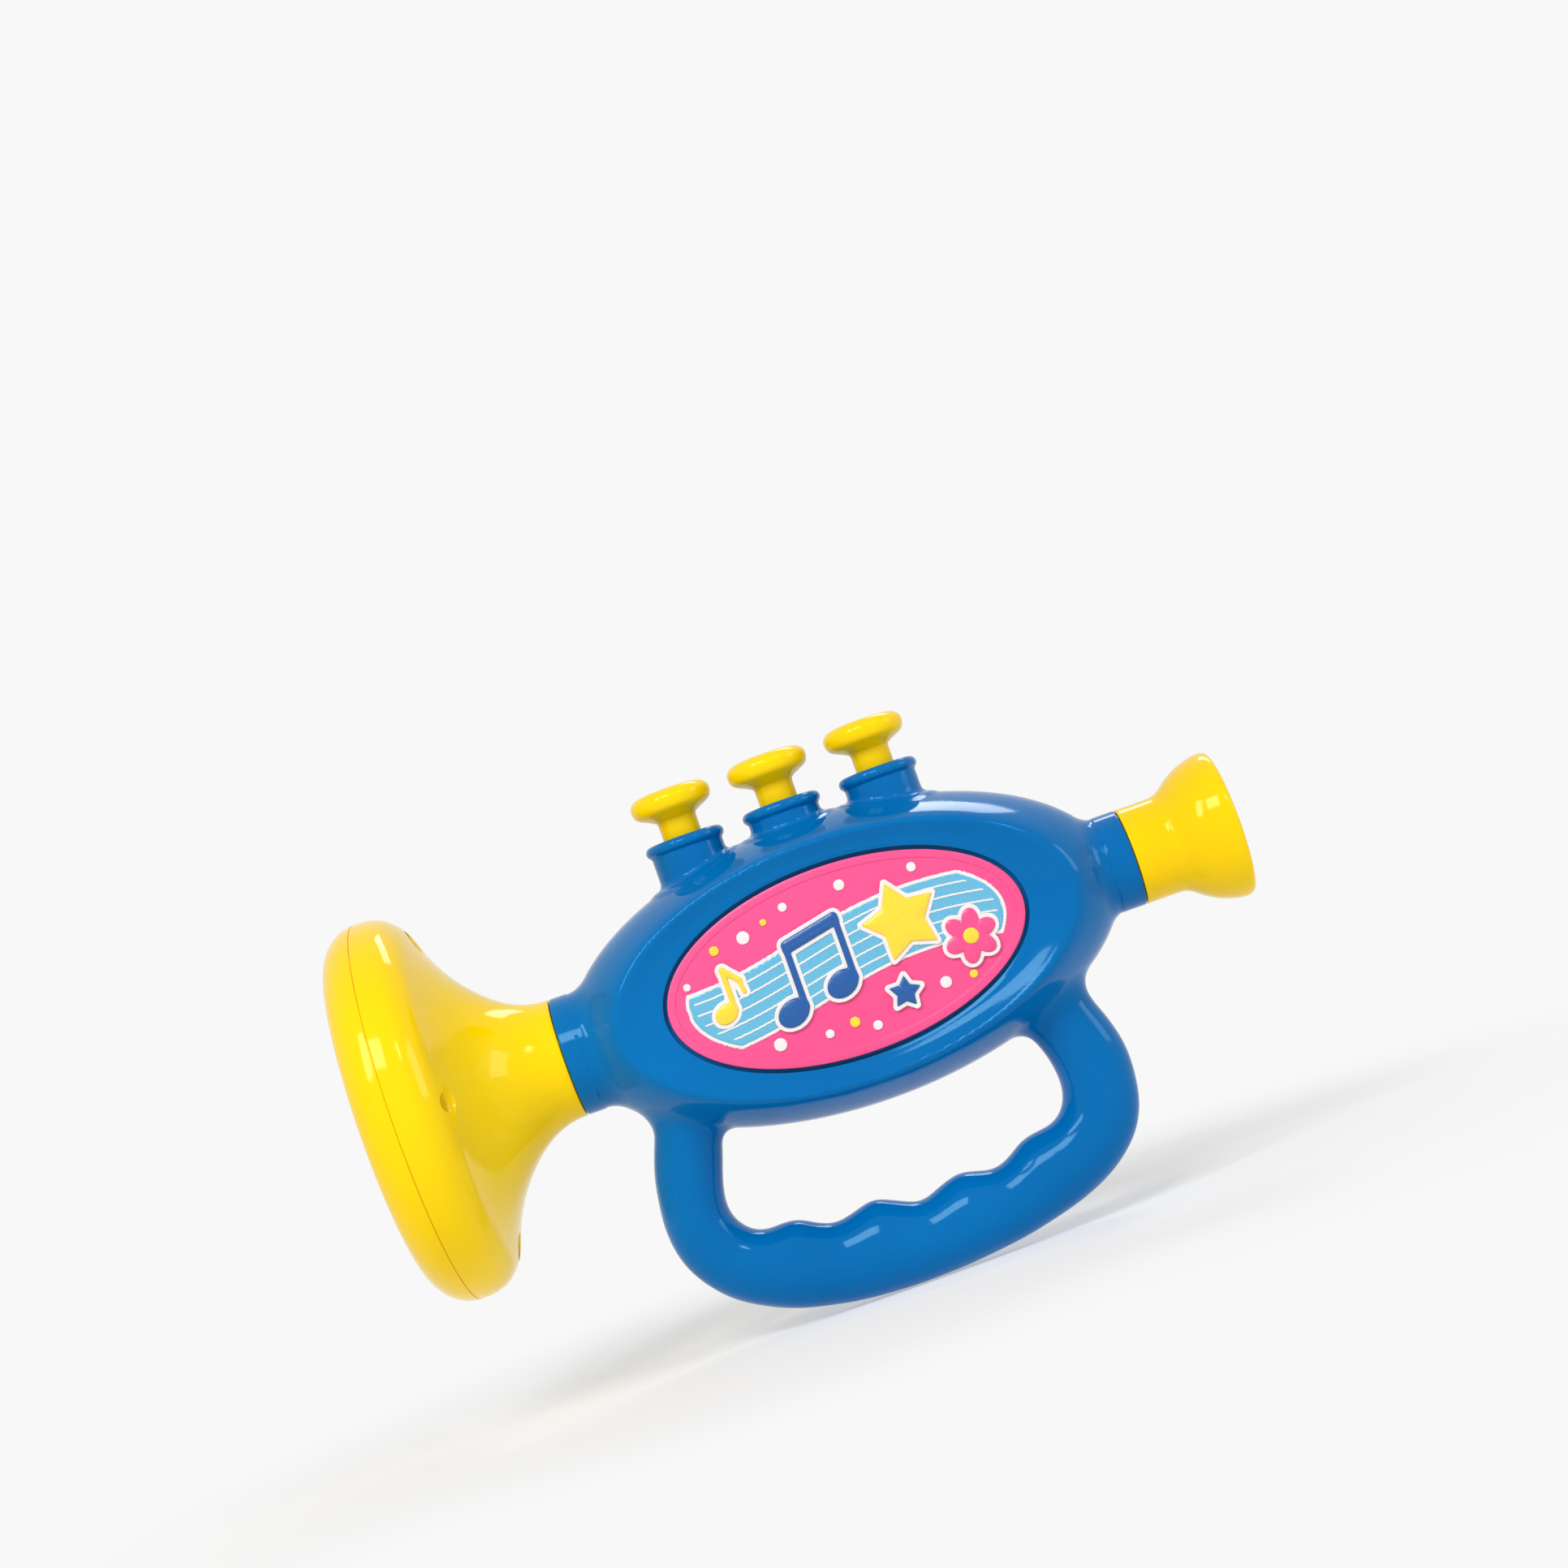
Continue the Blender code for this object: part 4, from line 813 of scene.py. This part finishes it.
def bell():
    start, seam, shut = BELL_SEAM - FIT, BELL_SPLIT + SEAM / 2, BELL_SPLIT + 0.01
    wall, bend, sink = BELL_RADIUS - WALL, 0.26, BELL_RADIUS - GROOVE
    rise = BELL_RADIUS - BELL_NECK
    shares = [(BELL_NECK + r * rise, start - s * (BELL_LENGTH - FIT)) for s, r in FLARE_SHARES]
    line = spline(shares[:-1] + [(BELL_RADIUS, seam + bend)], 9)
    spigot, tip = BELL_NECK - WALL - FIT, BELL_SEAM + SPIGOT_REACH
    step = BELL_SEAM - 0.06 * BELL_LENGTH + FIT
    inside = [p for p in beside(line, -WALL) if p[1] < step - WALL]
    profile = rounded((BELL_NECK, start), (spigot, start), line[3], 0.3) + line[3:]
    profile += rounded((BELL_RADIUS, seam), line[-1], (wall, seam), 0.25, 5)
    profile += [(sink, seam), (sink, shut), (wall, shut), (wall, inside[-1][1])]
    profile += inside[::-1] + [(inside[0][0], step), (spigot - WALL, step), (spigot - WALL, tip)]
    profile += [(spigot - 0.4, tip), (spigot, tip - 0.4), (spigot, start)]
    flare = turned("flare", profile, BELL_SIDES, "X")
    # Where the flare's outside lies at the ring of screws
    face = min(line, key=lambda p: abs(p[0] - BELL_RING))[1]
    combined(flare, "UNION", together([clipped_boss(y, z, line, face) for y, z in BELL_PLACES]))
    wells = [well(BELL_SEAT, face, 6, "X", (0, y, z)) for y, z in BELL_PLACES]
    combined(flare, "DIFFERENCE", together(wells))
    finish(smooth(flare, 32), "flare_shell", yellow, ["bell_flare"])

    seam, shut = BELL_SPLIT - SEAM / 2, BELL_SPLIT - 0.01
    tail = BELL_NECK - 2 * WALL - FIT
    rise = BELL_RADIUS - tail
    shares = [(tail + r * rise, BELL_SEAM - s * BELL_LENGTH) for s, r in RIM_SHARES]
    front = spline([(BELL_RADIUS, seam - bend)] + shares[1:], 9)
    lip, overlap = wall - 2 * FIT, 3.6
    root, thin = seam - overlap, lip - 1.6
    back = [p for p in beside(front, -WALL)[::-1] if p[1] < root or p[0] < lip - 2 * WALL]
    front = [(r, max(x, BELL_SEAM - BELL_LENGTH)) for r, x in front]
    profile = rounded((BELL_RADIUS, seam), (lip, seam), front[1], 0.25, 5) + front[1:] + back
    profile += [(thin, root + FIT), (thin, seam + overlap), (lip, seam + overlap), (lip, shut)]
    profile += [(sink, shut), (sink, seam)]
    rim = turned("rim", profile, BELL_SIDES, "X")
    low, high = BELL_SEAM - BELL_LENGTH + WALL - FIT, BELL_SEAT - WALL - FIT
    combined(rim, "UNION", together([bar("boss", BOSS, low, high, "X", (0, y, z)) for y, z in BELL_PLACES]))
    low, high = BELL_SEAT - 11.6, BELL_SEAT + 3
    pilots = [bar("pilot", PILOT, low, high, "X", (0, y, z)) for y, z in BELL_PLACES]
    combined(rim, "DIFFERENCE", together(pilots))
    finish(smooth(rim, 32), "rim_shell", yellow, ["bell_rim"])


def clipped_boss(y, z, line, face):
    """A boss from the seat up to just under the flare's outside, leaning with it."""
    low = BELL_SEAT - WALL
    boss = bar("boss", BELL_BOSS, low, face + 8, "X", (0, y, z), SCREW_SIDES)
    solid = [(0, low - 1), (BELL_RADIUS - 0.5, low - 1)]
    solid += [p for p in reversed(beside(line, -0.6)) if p[1] > low - 1] + [(0, line[0][1])]
    return combined(boss, "INTERSECT", turned("under", solid, BELL_SIDES, "X"))


# Mouthpiece

def mouthpiece():
    start, rise, end = MOUTH_SEAM + FIT, MOUTH_RADIUS - MOUTH_NECK, MOUTH_SEAM + MOUTH_LENGTH
    spigot, tip = MOUTH_NECK - WALL - FIT, MOUTH_SEAM - SPIGOT_REACH
    throat, foot = MOUTH_SEAM + 0.36 * MOUTH_LENGTH, MOUTH_SEAM + 0.21 * MOUTH_LENGTH
    line = [(MOUTH_NECK, start + 1.0)]
    line += [(MOUTH_NECK + r * rise, MOUTH_SEAM + s * MOUTH_LENGTH) for s, r in CUP_OUTSIDE]
    line += [(r * MOUTH_RADIUS, MOUTH_SEAM + s * MOUTH_LENGTH) for s, r in CUP_INSIDE]
    line.append((MOUTH_BORE, throat))
    profile = rounded((MOUTH_NECK, start), (spigot, start), (MOUTH_NECK, start + 3), 0.3)
    profile += [(r, min(x, end)) for r, x in spline(line, 8)]
    profile += [(MOUTH_BORE, foot), (spigot - WALL, foot), (spigot - WALL, tip)]
    profile += [(spigot - 0.4, tip), (spigot, tip + 0.4), (spigot, start)]
    piece = smooth(turned("cup", profile, MOUTH_SIDES, "X"), 40)
    finish(piece, "cup", yellow, ["mouthpiece"])


# Valves

def plunger(number, x):
    """A button with its stem, the flange that holds it in and the pin for its pad."""
    cap = [(STEM + r * (CAP_RADIUS - STEM), CAP_FOOT + h * (CAP_TOP - CAP_FOOT)) for r, h in CAP_SHARES]
    profile = [(0, CAP_TOP)] + spline([(2.5, CAP_TOP - 0.01), (5.2, CAP_TOP - 0.05)] + cap, 7)
    flange, neck, foot = STEM + 2.8, 14.4, 13.2
    profile += [(STEM, CAP_FOOT - 0.8), (STEM, FLANGE_TOP), (flange, FLANGE_TOP), (flange, FLANGE_FOOT)]
    profile += [(PIN, FLANGE_FOOT), (PIN, neck), (PIN_HEAD, neck), (PIN_HEAD, foot), (0, foot)]
    piece = smooth(turned("button", profile, BUTTON_SIDES, "Z", (x, 0, 0)), 40)
    replaces = [f"valve_plunger_{number}"]
    finish(piece, f"button_{number}", yellow, replaces, f"valve_{number}")


def coil(number, x):
    """The round-wire spring under a plunger's flange, which rides on it; here it is one rigid coil that
    moves with the valve.
    """
    node = frame["nodes"][f"valve_spring_{number}"]
    heights = [(node.matrix_world @ Vector(corner)).z / MM - MIDDLE[2] for corner in node.bound_box]
    low, high = min(heights), max(heights)
    wire, radius, turns, sides, along = 0.44, STEM - 0.8, 4, 10, 28
    angle = np.linspace(0, 2 * math.pi * turns, turns * along + 1)
    rise = (high - low - 2 * wire) / angle[-1]
    outward = np.stack([np.cos(angle), np.sin(angle), 0 * angle], 1)
    forward = np.stack([-radius * np.sin(angle), radius * np.cos(angle), rise + 0 * angle], 1)
    forward /= np.linalg.norm(forward, axis=1)[:, None]
    upward = np.cross(forward, outward)
    middle = outward * radius + np.outer(low + wire + rise * angle, (0, 0, 1)) + (x, 0, 0)
    points = []
    for n in range(sides):
        a = 2 * math.pi * n / sides
        points.append(middle + wire * (math.cos(a) * outward + math.sin(a) * upward))
    points = np.stack(points, 1).reshape(-1, 3)
    faces = [list(range(sides)), [len(points) - 1 - n for n in range(sides)]]
    faces += [(b, a, d, c) for a, b, c, d in between_rings(len(angle), sides, False)]
    name = f"spring_coil_{number}"
    made = smooth(placed(name, points, faces), 50)
    finish(made, name, steel, [node.name], f"valve_{number}")
    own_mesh(made)


# Screws

def screw(name, node, place, axis):
    """A round-headed screw with a cross slot."""
    head, thread, slot_foot = 2.6, 1.4, 1.0
    profile = [(0, 1.8), (1.5, 1.74)] + spline([(1.9, 1.62), (2.35, 1.25), (head, 0.6)], 4) + [(head, 0)]
    profile += [(thread, 0), (thread, -9.6), (0, -11.0)]
    made = turned(name, profile, SCREW_SIDES, axis, place)
    order = [0, 1, 2] if axis == "X" else [1, 0, 2]
    for long, wide in ((1.55, 0.36), (0.36, 1.55)):
        low, high = np.array([(slot_foot, -long, -wide), (head, long, wide)])[:, order] + place
        combined(made, "DIFFERENCE", block("slot", low, high))
    finish(smooth(made, 30), name, steel, [node])


# Emblem: an oval plate with a raised border and plain musical motifs

def panel():
    length, height = RECESS_LENGTH - 1.15, RECESS_HEIGHT - 1.15
    face, steps = FACE_DEPTH, PANEL_SIDES
    # How far in from the edge each ring lies, and how far below the border's face
    rings = [(0.0, PANEL_THICK), (0.0, 0.45), (0.12, 0.14), (0.42, 0), (2.15, 0), (2.35, 0.06)]
    rings += [(2.5, 0.3), (2.7, 0.38), (3.1, FIELD_DROP), (8.0, FIELD_DROP)]
    angle = 2 * math.pi * np.arange(steps) / steps
    points = []
    for inset, drop in rings:
        a, b = length - inset, height - inset
        points += [(a * math.cos(turn), drop - face, b * math.sin(turn)) for turn in angle]
    faces = between_rings(len(rings), steps, False)
    faces += [[len(points) - steps + n for n in range(steps)], list(reversed(range(steps)))]
    plate = placed("plate", points, faces)
    for side in (-1, 1):
        post = bar("post", 2.0, -face + 1.2, -FLOOR_DEPTH + 3.5, "Y", (side * POST_PLACE, 0, 0))
        combined(plate, "UNION", post)
    finish(smooth(plate), "emblem_plate", pink, ["emblem_panel"])


# Flat distances for the motifs, less than zero inside

def oval(x, z, cx, cz, long, short, turn=0.0):
    c, s = math.cos(turn), math.sin(turn)
    u, v = (x - cx) * c + (z - cz) * s, (z - cz) * c - (x - cx) * s
    k = np.hypot(u / long, v / short) + 1e-9
    return (k - 1) * k / np.maximum(np.hypot(u / long ** 2, v / short ** 2), 1e-6)


def strip(x, z, start, end, half):
    (ax, az), (bx, bz) = start, end
    share = np.clip(((x - ax) * (bx - ax) + (z - az) * (bz - az)) / ((bx - ax) ** 2 + (bz - az) ** 2), 0, 1)
    return np.hypot(x - ax - share * (bx - ax), z - az - share * (bz - az)) - half


def star(cx, cz, tip, notch, turn):
    """The distance to a star with five tips."""
    wedge = math.pi / 5
    nx, nz = notch * math.cos(wedge), notch * math.sin(wedge)

    def shape(x, z):
        angle = np.arctan2(z - cz, x - cx) - turn
        angle = np.abs((angle + wedge) % (2 * wedge) - wedge)
        away = np.hypot(x - cx, z - cz)
        u, v = away * np.cos(angle), away * np.sin(angle)
        share = np.clip(((u - tip) * (nx - tip) + v * nz) / ((nx - tip) ** 2 + nz ** 2), 0, 1)
        gap = np.hypot(u - tip - share * (nx - tip), v - share * nz)
        return np.where((nx - tip) * v - nz * (u - tip) < 0, gap, -gap)
    return shape


def note(heads, strokes):
    """The distance to oval heads, joined by strokes of a half width and a fillet."""
    def shape(x, z):
        whole = np.minimum.reduce([oval(x, z, *head, 0.4) for head in heads])
        for start, end, half, fillet in strokes:
            whole = blended(whole, strip(x, z, start, end, half), fillet)
        return whole
    return shape


def flower(x, z):
    cx, cz = FLOWER
    shape = oval(x, z, cx, cz, 2.4, 2.4)
    away, petals = 4.5, 6
    for k in range(petals):
        turn = k * math.pi / (petals / 2) + 0.25
        petal = oval(x, z, cx + away * math.cos(turn), cz + away * math.sin(turn), 3.4, 2.45, turn)
        shape = blended(shape, petal, 0.4)
    return shape


def flowing(x, z):
    """How far a point lies above the panel's flowing middle line, and what the line's slope adds to it."""
    turn = x / STAVE_PITCH + STAVE_START
    lean = np.sqrt(1 + (STAVE_RISE / STAVE_PITCH * np.cos(turn)) ** 2)
    return z - STAVE_RISE * np.sin(turn), lean


def ribbon(x, z):
    """A flowing band across the panel."""
    above, lean = flowing(x, z)
    return np.maximum(np.abs(above) / lean - 9.0, oval(x, z, 0, 0, 46.6, 20.9))


def stave(x, z):
    """Five lines along the band."""
    above, lean = flowing(x, z)
    lines = [np.abs(above - 3.3 * k) / lean - 0.3 for k in (-2, -1, 0, 1, 2)]
    return np.maximum(np.minimum.reduce(lines), oval(x, z, 0, 0, 45.2, 19.5))


def dots(places):
    def shape(x, z):
        return np.minimum.reduce([oval(x, z, cx, cz, r, r) for cx, cz, r in places])
    return shape


def motif(name, shape, box, material, base, lift, dome=0.0, grow=0.0, edge=0.25, step=0.33):
    """A raised shape with a rounded edge and a domed face, which stands on the panel's field."""
    start = FACE_DEPTH - FIELD_DROP + base

    def field(x, y, z):
        flat = shape(x, z) - grow
        crown = dome * (1 - (1 - np.clip(-flat / 4.0, 0, 1)) ** 2)
        side, top = flat + edge, -y - start - lift - crown + edge
        round_off = np.hypot(np.maximum(side, 0), np.maximum(top, 0))
        solid = np.minimum(np.maximum(side, top), 0) + round_off - edge
        return np.maximum(solid, start - 0.25 + y)

    x0, z0, x1, z1 = box
    reach = start + lift + dome + 0.8
    low, high = (x0 - grow - 1, -reach, z0 - grow - 1), (x1 + grow + 1, 1.2 - start, z1 + grow + 1)
    made = from_field(name, field, low, high, step, 1)
    exact_shading(made, field)
    finish(made, name, material)


def motifs():
    whole = (-48, -22, 48, 22)
    motif("ribbon_border", ribbon, whole, white_paint, 0.0, 0.45, grow=0.95, edge=0.2, step=0.4)
    motif("ribbon", ribbon, whole, sky_paint, 0.3, 0.42, step=0.4)
    motif("stave_lines", stave, whole, white_paint, 0.6, 0.3, edge=0.12, step=0.3)
    heads = [(-19.0, -9.4, 4.9, 3.7), (-3.2, -6.2, 4.9, 3.7)]
    strokes = [((-15.2, -8.6), (-15.2, 9.0), 0.95, 0.8), ((0.6, -5.4), (0.6, 12.2), 0.95, 0.8)]
    strokes += [((-15.0, 9.4 - drop), (0.4, 12.6 - drop), 1.3, 0.5) for drop in (0.0, 1.3)]
    flag = [((-34.3, -2.8), (-34.3, 8.6), 0.75, 0.7), ((-34.3, 8.6), (-30.6, 4.6), 0.85, 0.6)]
    flag += [((-30.6, 4.6), (-30.2, 1.0), 0.6, 0.6)]
    raised = [
        ("paired_notes", note(heads, strokes), (-24.5, -14, 3, 15), blue_paint),
        ("single_note", note([(-37.0, -3.4, 3.5, 2.7)], flag), (-41, -7, -28, 11), yellow_paint),
        ("large_star", star(18.4, 5.0, 11.6, 6.5, 0.42), (6, -8, 31, 18), yellow_paint),
        ("flower", flower, (26, -15, 45, 4), pink_paint),
        ("small_star", star(12.6, -14.4, 4.8, 2.6, 0.1), (6, -20, 18, -9), blue_paint),
    ]
    for name, shape, box, material in raised:
        motif(name + "_border", shape, box, white_paint, 0.5, 0.6, grow=1.15)
        motif(name, shape, box, material, 0.95, 0.62, dome=0.6, edge=0.4)
    middle = dots([FLOWER + (2.3,)])
    motif("flower_middle", middle, (32, -9, 39, -2), yellow_paint, 1.5, 0.6, dome=0.5, edge=0.4)
    light = [(-45.2, 7.4, 1.1), (-25.6, -16.6, 1.9), (-11.4, -18.4, 1.3), (-25.6, 15.4, 1.9)]
    light += [(-12.2, 19.8, 1.3), (26.0, 18.4, 1.4), (24.4, -15.6, 1.7), (2.2, -20.6, 1.4), (5.0, 20.4, 1.6)]
    motif("light_dots", dots(light), (-47, -22.5, 46, 22.5), white_paint, 0.0, 0.5, dome=0.3)
    gold = [(-34.6, 14.6, 1.4), (32.6, -16.0, 1.2), (-18.8, 17.6, 1.0), (-3.6, -17.6, 1.5)]
    motif("gold_dots", dots(gold), (-37, -20, 40, 20), yellow_paint, 0.0, 0.5, dome=0.3)


# The rest of the solids keep their shapes

def plain_nodes():
    finishes = {"blow_tube": white, "air_chamber": white, "chamber_lid": white, "reed_plate": steel}
    for k in (1, 2, 3):
        finishes.update({f"reed_{k}": brass, f"valve_pad_{k}": rubber})
    for name, material in finishes.items():
        coat(frame["nodes"][name], material)


body_shells()
bell()
mouthpiece()
for number, x in enumerate(VALVES, 1):
    plunger(number, x)
    coil(number, x)
for number, (x, z, seat) in enumerate(screw_places(), 1):
    screw(f"case_screw_{number}", f"body_screw_{number}", (x, seat + FIT, z), "Y")
for number, (y, z) in enumerate(BELL_PLACES, 1):
    screw(f"rim_screw_{number}", f"bell_screw_{number}", (BELL_SEAT + FIT, y, z), "X")
panel()
motifs()
plain_nodes()


# Floor, backdrop, lamps and camera

BACKGROUND = linear(248, 248, 248)
ROOM_LIGHT = 0.27
FLOOR_GAP = 0.0002
LENS = 69.603
CAMERA_PLACE = (-11.443, -879.860, 5.706)
CAMERA_AXES = (
    (0.942200, 0.005751, -0.335002), (0.334788, -0.055806, 0.940640), (-0.013285, -0.998425, -0.054505),
)


def stage():
    """A matt floor that fades into the backdrop away from the object."""
    reach, low = 4.0, float(cad_low.z) - FLOOR_GAP
    corners = [(x * reach, y * reach, low) for x, y in ((-1, -1), (1, -1), (1, 1), (-1, 1))]
    mesh = bpy.data.meshes.new("floor")
    mesh.from_pydata(corners, [], [(0, 1, 2, 3)])
    floor = linked("floor", mesh)
    material = bpy.data.materials.new("floor")
    made = Nodes(material)
    made.tree.nodes.clear()
    matt = made.add("ShaderNodeBsdfDiffuse", Color=(0.93, 0.93, 0.93, 1))
    pale = made.add("ShaderNodeEmission", Color=BACKGROUND)
    place = made.add("ShaderNodeTexCoord")
    length = made.add("ShaderNodeVectorMath", operation="LENGTH")
    ends = {"From_Min": 0.10, "From_Max": 0.30, "To_Min": 0.45}
    fade = made.add("ShaderNodeMapRange", interpolation_type="SMOOTHSTEP", **ends)
    made.join(place.outputs["Object"], length.inputs[0])
    made.join(length.outputs["Value"], fade.inputs["Value"])
    made.end(fade.outputs["Result"], matt, pale, "ShaderNodeOutputMaterial")
    coat(floor, material)


def world():
    """Even white light, and the backdrop where it is seen, straight on, in gloss or through something."""
    studio = bpy.data.worlds.new("studio")
    bpy.context.scene.world = studio
    made = Nodes(studio)
    made.tree.nodes.clear()
    room = made.add("ShaderNodeBackground", Color=(1.0, 1.0, 1.0, 1), Strength=ROOM_LIGHT)
    seen = made.add("ShaderNodeBackground", Color=BACKGROUND)
    rays = made.add("ShaderNodeLightPath").outputs
    share = rays["Is Camera Ray"]
    for kind in ("Is Glossy Ray", "Is Transmission Ray"):
        either = made.add("ShaderNodeMath", operation="MAXIMUM")
        made.join(share, either.inputs[0])
        made.join(rays[kind], either.inputs[1])
        share = either.outputs[0]
    made.end(share, room, seen, "ShaderNodeOutputWorld")


def lamp(name, place, size, power):
    """A soft lamp that points at the middle of the scene."""
    data = bpy.data.lights.new(name, "AREA")
    data.shape = "RECTANGLE"
    data.size, data.size_y = size
    data.energy = power
    obj = linked(name, data)
    obj.location = place
    obj.rotation_mode = "QUATERNION"
    obj.rotation_quaternion = (-Vector(place)).to_track_quat("-Z", "Y")


def camera():
    data = bpy.data.cameras.new("camera")
    data.sensor_width = 36.0
    data.lens = LENS
    data.clip_start, data.clip_end = 0.05, 20.0
    obj = linked("camera", data)
    turn = Matrix(CAMERA_AXES).transposed().to_4x4()
    obj.matrix_world = Matrix.Translation(Vector((np.array(CAMERA_PLACE) + MIDDLE) * MM)) @ turn
    bpy.context.scene.camera = obj


stage()
world()
lamp("left", (-0.70, -0.88, 0.80), (0.22, 0.60), 5.5)
lamp("front", (-0.25, -1.05, 0.85), (0.45, 0.40), 7.6)
lamp("right", (0.75, -0.95, 0.85), (0.20, 0.24), 2.2)
lamp("back", (0.46, 0.80, 1.00), (0.58, 0.26), 3.2)
lamp("side", (1.15, -0.25, 0.35), (0.40, 0.50), 2.6)
camera()
bpy.context.scene.view_settings.view_transform = "Standard"
